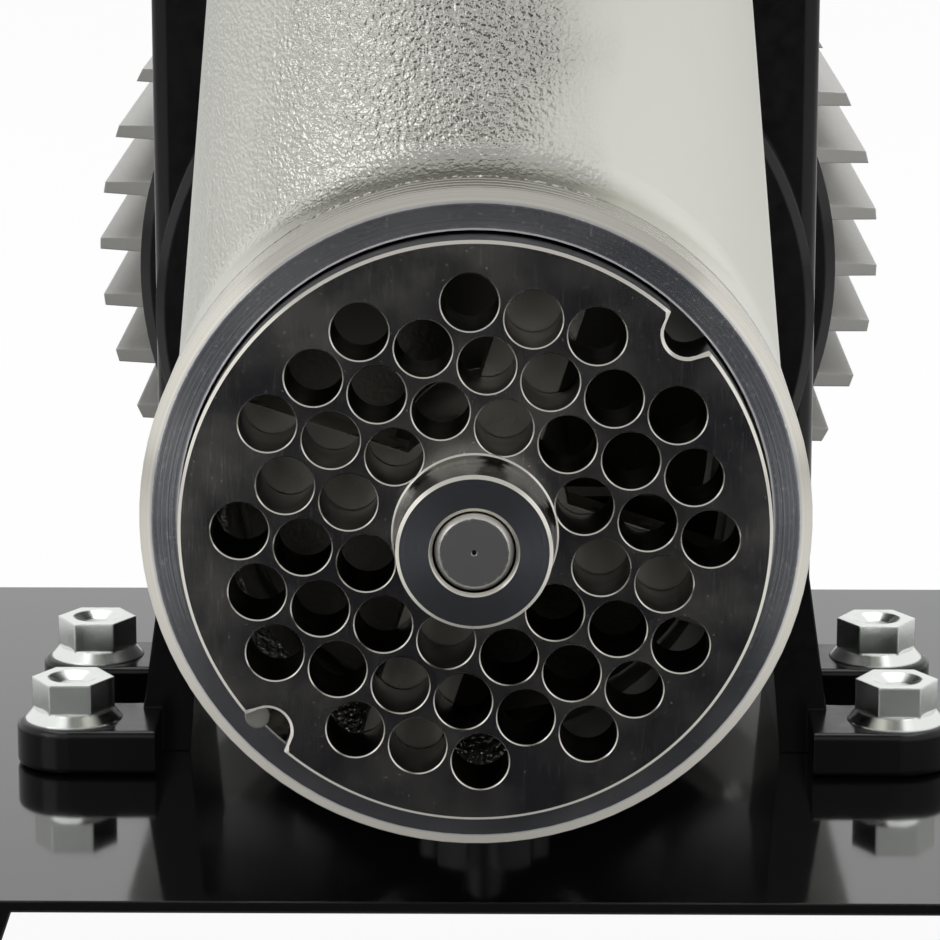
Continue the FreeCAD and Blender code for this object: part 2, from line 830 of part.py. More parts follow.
def build_auger():
    """Tapered core with a helical flight, a journal and a square tang at the rear."""
    length = auger_back - auger_front
    core = cone("auger_core", d.auger_core_front, d.auger_core_rear, auger_front, length)
    flight_start = auger_front + d.flight_root
    spine = doc.addObject("Part::Helix", "auger_helix")
    bind(spine, Pitch=d.auger_pitch, Height=length - d.flight_root * 2.0, Radius=d.auger_core_front)
    profile = doc.addObject("Sketcher::SketchObject", "auger_flight_profile")
    profile.Placement = Placement(Vector(), Rotation(Vector(1, 0, 0), 90))
    inner = d.auger_core_front / 2.0
    draw_outline(profile, [
        (inner, -d.flight_root / 2.0), (d.auger_radius, -d.flight_tip / 2.0),
        (d.auger_radius, d.flight_tip / 2.0), (inner, d.flight_root / 2.0)])
    doc.recompute()
    flight = doc.addObject("Part::Sweep", "auger_flight")
    flight.Sections = [profile]
    flight.Spine = (spine, [f"Edge{i + 1}" for i in range(len(spine.Shape.Edges))])
    flight.Solid = True
    flight.Frenet = True
    place(flight, 0.0, flight_start, 0.0, ALONG["Y"])
    journal_end = shoulder_back - d.fit_gap
    journal = rod("auger_journal", d.journal_radius, auger_back, journal_end - auger_back)
    tang = square("auger_tang", d.tang_square, journal_end, tang_back - journal_end)
    solid = fuse("auger_body", [core, flight, journal, tang])
    socket = rod("auger_stud_bore", d.stud_radius + d.stud_shank_rise + d.seat_gap, auger_front - 1.0,
                 d.stud_shank_length + 2.0)
    finish(cut("auger", solid, [socket]), "auger")


# Grinder head and what rides in it


def build_head():
    chamfer = d.barrel_radius - d.rim_face_radius
    thread_end = rim + d.thread_length
    relief_end = thread_end + d.thread_relief
    relief = d.barrel_radius - d.relief_depth
    outside = turned("head_outside", [
        (rim, 0.0), (rim, d.rim_face_radius), (rim + chamfer, d.barrel_radius), (thread_end, d.barrel_radius),
        (thread_end + d.relief_depth, relief), (relief_end, relief), (relief_end, d.barrel_radius),
        (d.barrel_taper_from, d.barrel_radius), (shoulder_front, d.waist_radius),
        (shoulder_front, d.shoulder_radius), (shoulder_back, d.shoulder_radius),
        (shoulder_back, d.spigot_radius), (spigot_back, d.spigot_radius), (spigot_back, 0.0)])
    place(outside, 0.0, 0.0, 0.0, SEAM_UP)
    neck = cone("head_neck", d.barrel_radius, d.neck_top_radius, as_size(0.0), d.neck_height, "Z", y=neck_y)
    lip = rod("head_lip", d.neck_lip_radius, d.neck_height - d.neck_lip_height, d.neck_lip_height, "Z", y=neck_y)
    slope = d.neck_lip_radius - d.neck_top_radius
    under = cone("head_lip_under", d.neck_top_radius, d.neck_lip_radius,
                 d.neck_height - d.neck_lip_height - slope, slope, "Z", y=neck_y)
    bush = d.journal_radius + d.run_gap + d.bush_wall + d.seat_gap
    spigot_bore = d.spigot_radius - d.spigot_wall
    inside = turned("head_inside", [
        (rim - 1.0, 0.0), (rim - 1.0, d.bore_radius), (rim + d.knife_room, d.bore_radius),
        (rim + d.knife_room, d.chamber_radius), (chamber_back, d.chamber_radius), (chamber_back, bush),
        (shoulder_front, bush), (shoulder_front, spigot_bore), (spigot_back + 1.0, spigot_bore),
        (spigot_back + 1.0, 0.0)])
    place(inside, 0.0, 0.0, 0.0, AXIAL)
    throat = cone("head_throat", d.throat_foot, d.throat_top, as_size(0.0), d.neck_height + 0.01, "Z", y=neck_y)
    x, z = plate_pin_place()
    pin_hole = rod("head_pin_hole", d.plate_pin_radius + d.seat_gap, rim - 1.0, d.plate_thickness + 1.0, "Y", x, z)
    casting = filleted("head_casting", fuse("head_neck_and_barrel", [outside, neck]), d.neck_fillet,
                       lambda edge: min(edge.BoundBox.YLength, edge.BoundBox.ZLength) > d.knife_room.value)
    finish(cut("grinder_head", fuse("head_solid", [casting, lip, under]), [inside, throat, pin_hole]),
           "grinder_head")


def build_head_bush():
    inner = d.journal_radius + d.run_gap
    finish(ring("auger_bush", chamber_back, shoulder_front - chamber_back, inner, inner + d.bush_wall),
           "auger_bush", AXIAL)
    finish(ring("thrust_washer", washer_front, d.washer_thickness, inner, d.washer_radius), "thrust_washer", AXIAL)


def tray_box(name, inset, floor, height):
    """Rounded rectangle drawn in by an inset, raised from a floor."""
    x, y = d.tray_width / 2.0 - inset, d.tray_depth / 2.0 - inset
    body = padded(name, "XY_Plane", [(-x, -y), (x, -y), (x, y), (-x, y)], height)
    round_edges(body, name + "_corners", d.tray_corner - inset, lambda edge: is_along(edge, Vector(0, 0, 1)))
    return place(body, 0.0, neck_y, floor)


def is_along(edge, direction):
    """True for a straight edge along a direction."""
    return isinstance(edge.Curve, Part.Line) and abs(edge.Curve.Direction.dot(direction)) > 0.999


def build_tray():
    pan = tray_box("tray_pan", d.tray_rim, tray_floor, d.tray_height)
    rim_sheet = tray_box("tray_brim", as_size(0.0), tray_floor + d.tray_height - d.tray_sheet, d.tray_sheet)
    collar_radius = d.throat_top - d.fit_gap
    collar = rod("tray_collar", collar_radius, tray_floor - d.tray_collar, d.tray_collar + d.tray_sheet, "Z", y=neck_y)
    well = tray_box("tray_well", d.tray_rim + d.tray_sheet, tray_floor + d.tray_sheet, d.tray_height)
    mouth = rod("tray_mouth", collar_radius - d.tray_sheet, tray_floor - d.tray_collar - 1.0,
                d.tray_collar + d.tray_sheet + 2.0, "Z", y=neck_y)
    finish(cut("feed_tray", fuse("tray_solid", [pan, rim_sheet, collar]), [well, mouth]), "feed_tray")


# Gearbox


def lug_places():
    front = housing_front - d.collar_length + d.lug_front
    return [(side * d.lug_reach, y) for side in (-1.0, 1.0) for y in (front, front + d.lug_spacing)]


def housing_outline():
    """Right half of the casting from the arch under it to its top."""
    half = d.housing_half
    toe = half + d.leg_flare
    return [(d.arch_half, -d.arch_top), (d.arch_half + d.leg_flare / 2.0, plate_top), (toe, plate_top),
            (half, plate_top + d.flare_height), (half, d.housing_top)]


def housing_block(name, start, length):
    """Slice of the casting's outline with its two upper corners rounded."""
    body = padded(name, "XZ_Plane", mirrored(housing_outline()), length, True)
    top = d.housing_top.value
    round_edges(body, name + "_shoulders", d.housing_corner,
                lambda edge: is_along(edge, Vector(0, 1, 0)) and abs(edge.CenterOfMass.z - top) < 0.01)
    return place(body, 0.0, start, 0.0)


def soften_front(body):
    """Rounds the casting's front edge along its sides and over its top."""
    knee = (plate_top + d.flare_height).value
    round_edges(body, "housing_front_edge", d.housing_edge,
                lambda edge: abs(edge.BoundBox.YMax) < 0.01 and edge.BoundBox.ZMin > knee - 0.01)
    return body


def housing_lug(name, x, y):
    """Foot of the casting with a round end and softened edges."""
    radius = d.lug_radius
    side = 1.0 if x.value > 0 else -1.0
    inner = x - (d.lug_reach - d.housing_half) * side
    outer = x + radius * side
    body = padded(name, "XY_Plane", [(inner, y - radius), (outer, y - radius), (outer, y + radius),
                                     (inner, y + radius)], d.lug_height)
    round_edges(body, name + "_end", radius - d.seat_gap,
                lambda edge: is_along(edge, Vector(0, 0, 1)) and abs(edge.CenterOfMass.x - outer.value) < 0.01)
    round_edges(body, name + "_edge", d.lug_edge,
                lambda edge: edge.BoundBox.ZLength < 0.01 and abs(edge.CenterOfMass.x - inner.value) > 0.01)
    return place(body, 0.0, 0.0, plate_top)


def build_housing():
    casting = soften_front(housing_block("housing_block", housing_front, d.housing_depth))
    front_edge = d.collar_chamfer
    collar = turned("housing_collar", [
        (collar_front, 0.0), (collar_front, d.collar_radius - front_edge),
        (collar_front + front_edge, d.collar_radius), (housing_front + 1.0, d.collar_radius),
        (housing_front + 1.0, 0.0)])
    place(collar, 0.0, 0.0, 0.0, AXIAL)
    lugs = [housing_lug(f"housing_lug{number}", x, y) for number, (x, y) in enumerate(lug_places())]
    half = d.housing_half - d.housing_wall
    top = d.housing_top - d.housing_wall
    cavity = padded("housing_cavity", "XZ_Plane", [(-half, -d.cavity_floor), (half, -d.cavity_floor), (half, top),
                                                   (-half, top)], housing_back - wall_inside + 1.0, True)
    round_edges(cavity, "housing_cavity_round", d.housing_corner - d.housing_wall,
                lambda edge: is_along(edge, Vector(0, 1, 0)))
    place(cavity, 0.0, wall_inside, 0.0)
    hollow = cut("housing_hollow", fuse("housing_solid", [casting, collar] + lugs), [cavity])
    bosses = [
        rod("housing_output_boss", d.output_boss, wall_inside - 1.0, boss_back - wall_inside + 1.0),
        rod("housing_lay_boss", d.lay_boss, wall_inside - 1.0, boss_back - wall_inside + 1.0, z=centre_distance)]
    bores = [
        rod("housing_socket", d.spigot_radius + d.fit_gap, collar_front - 1.0, d.socket_depth + 1.0),
        rod("housing_output_bore", d.output_bearing_radius + d.seat_gap, socket_floor - 1.0,
            boss_back - socket_floor + 2.0),
        rod("housing_lay_bore", d.lay_bearing_radius + d.seat_gap, lay_bearing_front - d.fit_gap,
            d.lay_bearing_width + 2.0, z=centre_distance),
        rod("housing_clamp_hole", d.clamp_radius + d.run_gap, -d.collar_radius - 1.0,
            d.collar_radius - d.spigot_radius + 2.0, "Z", y=clamp_y()),
        rod("housing_plug_hole", d.plug_radius + d.seat_gap, d.housing_top - d.housing_wall - 1.0,
            d.housing_wall + 2.0, "Z", y=plug_y())]
    for number, (x, y) in enumerate(lug_places()):
        bores.append(rod(f"housing_lug_hole{number}", d.bolt_radius + d.bolt_hole_gap, plate_top - 1.0,
                         d.lug_height + 2.0, "Z", x, y=y))
    for number, (x, z) in enumerate(cover_screw_places()):
        bores.append(rod(f"housing_screw_hole{number}", d.cover_screw_radius + d.seat_gap,
                         housing_back - d.cover_screw_depth - 2.0, d.cover_screw_depth + 3.0, "Y", x, z))
    pillars = [rod(f"housing_pillar{number}", d.cover_screw_radius * 2.2, wall_inside - 1.0,
                   housing_back - wall_inside + 1.0, "Y", x, z)
               for number, (x, z) in enumerate(cover_screw_places())]
    full = common("housing_pillars_inside", fuse("housing_pillars", pillars),
                  housing_block("housing_limit", housing_front, d.housing_depth))
    finish(cut("gearbox_housing", fuse("housing_full", [hollow, full] + bosses), bores), "gearbox_housing")


def clamp_y():
    return collar_front + d.collar_length / 2.0


def plug_y():
    return (wall_inside + housing_back) / 2.0


def cover_screw_places():
    """Cover screws down both sides, in the wall's thickened pillars."""
    x = d.housing_half - d.cover_screw_radius * 2.4
    high = d.housing_top - d.housing_corner
    low = -d.cavity_floor
    return [(side * x, z) for side in (-1.0, 1.0) for z in (low, (low + high) / 2.0, high)]


def build_foot_bolts():
    bolts, nuts = [], []
    under = plate_top - d.stand_sheet
    for number, (x, y) in enumerate(lug_places()):
        length = d.lug_height + d.stand_sheet + d.nut_height + 3.0
        bolts.append(flange_bolt(f"foot_bolt{number}", x, y, lug_top, length))
        solid = fuse(f"bolt_nut{number}_body", [
            hexagon(f"bolt_nut{number}_hex", d.bolt_flat, under - d.nut_height, d.nut_height, "Z", x, y),
            rod(f"bolt_nut{number}_flange", d.bolt_flange_radius, under - d.bolt_flange, d.bolt_flange, "Z", x, y=y)])
        bore = rod(f"bolt_nut{number}_bore", d.bolt_radius + d.seat_gap, under - d.nut_height - 1.0,
                   d.nut_height + 2.0, "Z", x, y=y)
        nuts.append(cut(f"bolt_nut{number}", solid, [bore]))
    finish(group("housing_bolts", bolts), "housing_bolts")
    finish(group("housing_nuts", nuts), "housing_nuts")


def build_cover():
    plate = housing_block("cover_block", housing_back, d.cover_thickness)
    # The cover stops above the arch of the casting
    legs = block("cover_legs", (-d.stand_width, d.stand_width), (housing_back - 1.0, cover_back + 1.0),
                 (plate_top - 1.0, -d.arch_top))
    seat = rod("cover_lay_seat", d.lay_bearing_radius + d.seat_gap, housing_back - 1.0,
               d.lay_bearing_width + d.fit_gap + 1.0, z=centre_distance)
    bore = rod("cover_bore", d.cover_bore + d.seat_gap, housing_back - 1.0, d.cover_thickness + 2.0, z=-motor_drop)
    holes = [rod(f"cover_screw_hole{number}", d.cover_screw_radius + d.run_gap, housing_back - 1.0,
                 d.cover_thickness + 2.0, "Y", x, z) for number, (x, z) in enumerate(cover_screw_places())]
    ties = [rod(f"cover_bell_hole{number}", d.cover_screw_radius + d.seat_gap, housing_back - 1.0,
                d.cover_thickness + 2.0, "Y", x, z - motor_drop)
            for number, (x, z) in enumerate(bell_screw_places())]
    finish(cut("gearbox_cover", plate, [legs, seat, bore] + holes + ties), "gearbox_cover")
    # Flat heads sit in the cover below the bell, so the bell lies flat on it
    screws = []
    for number, (x, z) in enumerate(cover_screw_places()):
        screws.append(rod(f"cover_screw{number}", d.cover_screw_radius, housing_back - d.cover_screw_depth,
                          d.cover_thickness + d.cover_screw_depth, "Y", x, z))
    finish(group("cover_screws", screws), "cover_screws")


def bell_screw_places():
    """Three screws that hold the motor's bell on the cover, below the layshaft's seat."""
    return [clockwise(d.bell_screw_circle, turn) for turn in (110.0, 180.0, 250.0)]


def build_gearbox_trim():
    plug = d.plug_radius
    top = d.housing_top
    head = hexagon("oil_plug_hex", plug * 2.2, top, plug * 0.8, "Z", 0.0, plug_y())
    shank = rod("oil_plug_shank", plug, top - d.housing_wall, d.housing_wall, "Z", y=plug_y())
    finish(fuse("oil_plug", [head, shank]), "oil_plug")
    finish(ring("output_seal", seal_front, d.seal_width, d.output_radius + d.run_gap, d.output_bearing_radius),
           "output_seal", AXIAL)
    finish(ring("motor_shaft_seal", housing_back + d.fit_gap, d.cover_thickness - d.fit_gap * 2.0,
                d.rotor_end + d.run_gap, d.cover_bore), "motor_shaft_seal", AXIAL, z=-motor_drop)


def bearing(label, front, width, inner, outer, z=0.0):
    """Sealed ball bearing as one ring with its two race edges."""
    step = (outer - inner) * 0.28
    dip = width * 0.08
    back = front + width
    body = turned(label, [
        (front, inner), (front, inner + step), (front + dip, inner + step), (front + dip, outer - step),
        (front, outer - step), (front, outer), (back, outer), (back, outer - step), (back - dip, outer - step),
        (back - dip, inner + step), (back, inner + step), (back, inner)])
    finish(body, label, AXIAL, z=as_size(z))


def build_bearings():
    shaft = d.output_radius + d.run_gap
    for label, front in (("output_bearing_front", bearing_one), ("output_bearing_rear", bearing_two)):
        bearing(label, front, d.output_bearing_width, shaft, d.output_bearing_radius)
    shaft = d.lay_end_radius + d.run_gap
    for label, front in (("layshaft_bearing_front", lay_bearing_front),
                         ("layshaft_bearing_rear", housing_back + d.seat_gap)):
        bearing(label, front, d.lay_bearing_width, shaft, d.lay_bearing_radius, centre_distance)
    shaft = d.rotor_end + d.run_gap
    for label, front in (("motor_bearing_front", motor_bearing_front), ("motor_bearing_rear", rear_bearing_front)):
        bearing(label, front, d.motor_bearing_width, shaft, d.motor_bearing_radius, -motor_drop)


def build_clamp_knob():
    """Clamping screw under the collar, with a fluted knob."""
    tip = d.spigot_radius + d.fit_gap * 2.0
    screw_rod = rod("clamp_screw", d.clamp_radius, -d.clamp_reach, d.clamp_reach - tip, "Z", y=clamp_y())
    grip = rod("clamp_grip", d.knob_radius, -d.clamp_reach - d.knob_height, d.knob_height, "Z", y=clamp_y())
    flutes = []
    for number, turn in enumerate(around(6)):
        out, along = clockwise(d.knob_radius * 1.18, turn)
        flutes.append(rod(f"clamp_flute{number}", d.knob_radius * 0.34, -d.clamp_reach - d.knob_height - 1.0,
                          d.knob_height + 2.0, "Z", out, y=clamp_y() + along))
    finish(fuse("head_clamp_knob", [cut("clamp_knob", grip, flutes), screw_rod]), "head_clamp_knob")


# Gear train


def build_output():
    front = shoulder_back + d.fit_gap * 2.0
    head_back = socket_floor - d.fit_gap * 2.0
    seat_front = boss_back + d.fit_gap
    shaft = turned("output_shaft_body", [
        (front, 0.0), (front, d.output_head), (head_back, d.output_head), (head_back, d.output_radius),
        (seat_front, d.output_radius), (seat_front, d.gear_seat_radius), (output_end, d.gear_seat_radius),
        (output_end, 0.0)])
    place(shaft, 0.0, 0.0, 0.0, AXIAL)
    socket = square("output_socket", d.tang_square + d.fit_gap * 2.0, front - 1.0,
                    tang_back - front + d.fit_gap + 1.0)
    half = d.key_width / 2.0
    key_floor = d.gear_seat_radius - d.key_width * 0.6
    key_top = d.gear_seat_radius + d.key_width * 0.4
    groove = block("output_keyway", (-half, half), (slow_front, slow_back), (key_floor, key_top))
    finish(cut("output_shaft", shaft, [socket, groove]), "output_shaft")
    wheel = gear("output_wheel", d.module_slow, d.teeth_output, slow_front, d.face_slow,
                 d.gear_seat_radius + d.seat_gap)
    slot = block("output_gear_slot", (-half, half), (slow_front - 1.0, slow_back + 1.0),
                 (as_size(0.0), key_top + d.seat_gap))
    finish(cut("output_gear", wheel, [slot]), "output_gear")
    inset = d.seat_gap
    key = block("output_key", (inset - half, half - inset), (slow_front + inset, slow_back - inset),
                (key_floor, key_top))
    finish(key, "output_key", x=inset - half, y=slow_front + inset, z=key_floor)
    finish(ring("output_circlip", slow_back + inset, d.circlip_width, d.gear_seat_radius + inset,
                d.gear_seat_radius + d.circlip_rise), "output_circlip", AXIAL)


def build_layshaft():
    front = lay_bearing_front
    step_front = boss_back + d.fit_gap
    step_back = housing_back - d.fit_gap
    back = housing_back + d.lay_bearing_width
    core = turned("layshaft_core", [
        (front, 0.0), (front, d.lay_end_radius), (step_front, d.lay_end_radius), (step_front, d.lay_core_radius),
        (step_back, d.lay_core_radius), (step_back, d.lay_end_radius), (back, d.lay_end_radius), (back, 0.0)])
    place(core, 0.0, 0.0, 0.0, AXIAL)
    half_step = 180.0 / d.teeth_lay_pinion.value
    pinion = gear("layshaft_teeth", d.module_slow, d.teeth_lay_pinion, slow_front, d.face_slow,
                  d.lay_core_radius * 0.5, half_step)
    finish(fuse("layshaft_pinion", [core, pinion]), "layshaft_pinion", z=centre_distance)
    wheel = gear("layshaft_gear", d.module_fast, d.teeth_lay_gear, fast_front, d.face_fast,
                 d.lay_core_radius + d.seat_gap)
    finish(wheel, "layshaft_gear", y=fast_front, z=centre_distance)


def build_rotor():
    nose = fast_front - d.gear_space
    shoulder = fast_back + d.seat_gap
    seat = motor_bearing_front + d.motor_bearing_width + d.seat_gap
    rear_seat = rear_bearing_front - d.seat_gap
    fan_seat = rear_bearing_front + d.motor_bearing_width
    shaft = turned("rotor_shaft", [
        (nose, 0.0), (nose, d.rotor_nose), (shoulder, d.rotor_nose), (shoulder, d.rotor_end), (seat, d.rotor_end),
        (seat, d.rotor_body), (rear_seat, d.rotor_body), (rear_seat, d.rotor_end), (fan_seat, d.rotor_end),
        (fan_seat, d.fan_shaft), (fan_back, d.fan_shaft), (fan_back, 0.0)])
    finish_motor(shaft, "rotor_shaft", AXIAL)
    pinion = gear("motor_pinion", d.module_fast, d.teeth_motor, fast_front, d.face_fast, d.rotor_nose + d.seat_gap)
    finish_motor(pinion, "motor_pinion", y=fast_front)
    ring_front, ring_back = core_front - d.cage_ring, core_back + d.cage_ring
    rotor = d.core_bore - d.air_gap
    bore = d.rotor_body + d.seat_gap
    core = turned("rotor_core", [
        (ring_front, bore), (ring_front, d.cage_radius), (core_front, d.cage_radius), (core_front, rotor),
        (core_back, rotor), (core_back, d.cage_radius), (ring_back, d.cage_radius), (ring_back, bore)])
    finish_motor(core, "rotor_core", AXIAL)


def build_fan():
    hub = rod("fan_hub", d.fan_hub, fan_front, d.fan_width)
    disc = rod("fan_disc", d.fan_radius * 0.7, fan_front, d.fan_blade)
    blades = []
    # No blade stands straight up, so each has a turn that the sheet can hold
    for number, turn in enumerate(around(8, 22.5)):
        half = d.fan_blade / 2.0
        blade = block(f"fan_blade{number}", (-half, half), (fan_front, fan_back), (d.fan_hub * 0.8, d.fan_radius))
        angle = as_size(turn)
        blade.Placement = Placement(Vector(), Rotation(Vector(0, 1, 0), turn))
        for axis, size in turned_corner(-half, fan_front, d.fan_hub * 0.8, angle):
            blade.setExpression(f"Placement.Base.{axis}", size.text)
        blade.setExpression("Placement.Rotation.Angle", angle.text)
        blades.append(blade)
    bore = rod("fan_bore", d.fan_shaft + d.seat_gap, fan_front - 1.0, d.fan_width + 2.0)
    finish_motor(cut("cooling_fan", fuse("fan_solid", [hub, disc] + blades), [bore]), "cooling_fan")


# Motor


def tie_places():
    return [clockwise(d.tie_circle, turn) for turn in around(4, 45.0)]


def build_front_bell():
    edge = d.bell_edge
    web_back = motor_bearing_front + d.motor_bearing_width + d.seat_gap
    inner = d.frame_bore - d.frame_wall
    step = bell_back + d.spigot_step
    shell = turned("front_bell_body", [
        (cover_back, d.cover_bore), (cover_back, d.bell_radius - edge), (cover_back + edge, d.bell_radius),
        (bell_back, d.bell_radius), (bell_back, d.frame_bore), (step, d.frame_bore), (step, inner),
        (web_back, inner), (web_back, d.motor_bearing_radius + d.seat_gap),
        (motor_bearing_front, d.motor_bearing_radius + d.seat_gap), (motor_bearing_front, d.cover_bore)])
    place(shell, 0.0, 0.0, 0.0, AXIAL)
    holes = [rod(f"front_bell_tie{number}", d.tie_radius + d.run_gap, step - d.tie_thread - 2.0,
                 d.tie_thread + 3.0, "Y", x, z)
             for number, (x, z) in enumerate(tie_places())]
    holes += [rod(f"front_bell_screw{number}", d.cover_screw_radius + d.run_gap, cover_back - 1.0,
                  web_back - cover_back + 2.0, "Y", x, z) for number, (x, z) in enumerate(bell_screw_places())]
    finish_motor(cut("motor_front_bell", shell, holes), "motor_front_bell")
    screws = [screw(f"bell_screw{number}", d.cover_screw_radius, web_back + d.seat_gap,
                    web_back - cover_back + d.cover_thickness, d.cover_screw_radius * 1.8, "Y", x, z=z)
              for number, (x, z) in enumerate(bell_screw_places())]
    finish_motor(group("bell_screws", screws), "bell_screws")


def fin_slots(name):
    """Slots between the level fins on both sides, tapering towards the root."""
    body = doc.addObject("PartDesign::Body", name)
    sketch = new_sketch(body, "XZ_Plane", name + "_outline")
    barrel = d.frame_bore + d.frame_wall
    rows = int(0.78 * d.frame_bore.value / d.fin_pitch.value)
    outside = d.fin_radius + 2.0
    for side in (-1.0, 1.0):
        for row in range(-rows, rows + 1):
            level = d.fin_pitch * float(row) + d.fin_shift
            tip = (d.fin_pitch - d.fin_tip) / 2.0
            foot = (d.fin_pitch - d.fin_root) / 2.0
            reach = root(barrel * barrel - level * level)
            draw_outline(sketch, [(reach * side, level - foot), (outside * side, level - tip),
                                  (outside * side, level + tip), (reach * side, level + foot)])
    # Upright fins fill the space under the barrel
    columns = 3
    for column in range(-columns, columns + 1):
        place_x = d.fin_pitch * float(column)
        foot = (d.fin_pitch - d.fin_root) / 2.0
        tip = (d.fin_pitch - d.fin_tip) / 2.0
        depth = -root(barrel * barrel - place_x * place_x)
        draw_outline(sketch, [(place_x - foot, depth), (place_x - tip, -outside),
                              (place_x + tip, -outside), (place_x + foot, depth)])
    pad = body.newObject("PartDesign::Pad", name + "_pad")
    pad.Profile = sketch
    bind(pad, Length=d.frame_length + 2.0)
    pad.Reversed = True
    # The frame sits turned a little on its spigot, so the fins on the right lie lower
    place(body, 0.0, bell_back - 1.0, 0.0, Rotation(Vector(0, 1, 0), d.frame_turn.value))
    body.setExpression("Placement.Rotation.Angle", d.frame_turn.text)
    return body


def build_frame():
    barrel = d.frame_bore + d.frame_wall
    tube = rod("frame_tube", barrel, bell_back, d.frame_length)
    fins = rod("frame_fins", d.fin_radius, bell_back + d.fin_inset, d.frame_length - d.fin_inset * 2.0)
    pad_low = d.frame_bore + d.run_gap
    top = d.box_base
    trim = block("frame_fin_trim", (-d.pad_half, d.pad_half), (bell_back - 1.0, frame_back + 1.0),
                 (barrel, d.fin_radius + 5.0))
    finned = cut("frame_finned", fins, [fin_slots("frame_slots"), trim])
    seat = block("frame_box_pad", (-d.pad_half, d.pad_half), (box_front + d.box_wall, box_back - d.box_wall),
                 (pad_low, top))
    bore = rod("frame_bore", d.frame_bore + d.seat_gap, bell_back - 1.0, d.frame_length + 2.0)
    wires = rod("frame_wire_hole", d.wire_hole, pad_low - d.frame_wall, top - pad_low + d.frame_wall * 2.0, "Z",
                d.wire_hole_x, y=box_back - d.wire_hole_inset)
    finish_motor(cut("motor_frame", fuse("frame_solid", [tube, finned, seat]), [bore, wires]), "motor_frame")


def build_stator():
    body = ring("stator_ring", core_front, d.core_length, d.core_bore, d.frame_bore)
    place(body, 0.0, 0.0, 0.0, AXIAL)
    notches = [rod(f"stator_notch{number}", d.tie_radius + d.fit_gap, core_front - 1.0, d.core_length + 2.0, "Y", x, z)
               for number, (x, z) in enumerate(tie_places())]
    slots = []
    for number, turn in enumerate(around(12)):
        x, z = clockwise(d.core_bore, turn)
        slots.append(rod(f"stator_slot{number}", d.stator_slot, core_front - 1.0, d.core_length + 2.0, "Y", x, z))
    finish_motor(cut("stator_core", body, notches + slots), "stator_core")
    coils = []
    for name, front in (("winding_front", core_front - d.winding_length), ("winding_rear", core_back)):
        back = front + d.winding_length
        edge = d.winding_length * 0.3
        coil = turned(name, [
            (front, d.winding_inner + edge), (front, d.winding_outer - edge), (front + edge, d.winding_outer),
            (back - edge, d.winding_outer), (back, d.winding_outer - edge), (back, d.winding_inner + edge),
            (back - edge, d.winding_inner), (front + edge, d.winding_inner)])
        coils.append(place(coil, 0.0, 0.0, 0.0, AXIAL))
    finish_motor(group("stator_windings", coils), "stator_windings")


def build_rear_bell():
    inner = d.frame_bore - d.frame_wall
    step = frame_back - d.spigot_step
    pocket = d.motor_bearing_radius + d.seat_gap
    pocket_back = rear_bearing_front + d.motor_bearing_width + d.seat_gap
    barrel = d.frame_bore + d.frame_wall
    edge = d.bell_edge / 2.0
    shell = turned("rear_bell_body", [
        (step, inner), (step, d.frame_bore), (frame_back, d.frame_bore), (frame_back, barrel),
        (rear_bell_back - edge, barrel), (rear_bell_back, barrel - edge), (rear_bell_back, d.rotor_end + 1.0),
        (pocket_back, d.rotor_end + 1.0), (pocket_back, pocket), (frame_back, pocket), (frame_back, inner)])
    place(shell, 0.0, 0.0, 0.0, AXIAL)
    reach = d.fin_radius - d.cowl_wall - d.run_gap
    arms = []
    for number, turn in enumerate(around(4)):
        half = d.rear_lug / 2.0
        near, far = barrel - 3.0, reach
        spans = {0.0: ((-half, half), (near, far)), 90.0: ((near, far), (-half, half)),
                 180.0: ((-half, half), (-far, -near)), 270.0: ((-far, -near), (-half, half))}[turn]
        arms.append(block(f"rear_bell_lug{number}", spans[0], (frame_back, rear_bell_back - edge), spans[1]))
    limit = rod("rear_bell_limit", reach, frame_back - d.frame_length, d.frame_length + d.rear_bell + 1.0)
    solid = common("rear_bell_solid", fuse("rear_bell_arms", [shell] + arms), limit)
    holes = [rod(f"rear_bell_tie{number}", d.tie_radius + d.run_gap, step - 1.0, d.rear_bell + d.spigot_step + 2.0,
                 "Y", x, z) for number, (x, z) in enumerate(tie_places())]
    for number, (axis, sign) in enumerate(COWL_SCREWS):
        start = reach - 9.0 if sign > 0 else -reach - 1.0
        holes.append(rod(f"rear_bell_cowl_hole{number}", d.cowl_screw_radius + d.seat_gap, start, as_size(10.0), axis,
                         y=cowl_screw_y()))
    finish_motor(cut("motor_rear_bell", solid, holes), "motor_rear_bell")


COWL_SCREWS = (("X", 1), ("X", -1), ("Z", 1), ("Z", -1))


def cowl_screw_y():
    return frame_back + d.rear_bell / 2.0


def build_tie_rods():
    start = bell_back + d.spigot_step - d.tie_thread
    rods = []
    for number, (x, z) in enumerate(tie_places()):
        shank = rod(f"tie_rod{number}_shank", d.tie_radius, start, rear_bell_back - start, "Y", x, z)
        head = hexagon(f"tie_rod{number}_head", d.tie_head * 1.8, rear_bell_back, d.tie_radius * 1.3, "Y", x, z=z)
        rods.append(fuse(f"tie_rod{number}", [shank, head]))
    finish_motor(group("tie_rods", rods), "tie_rods")


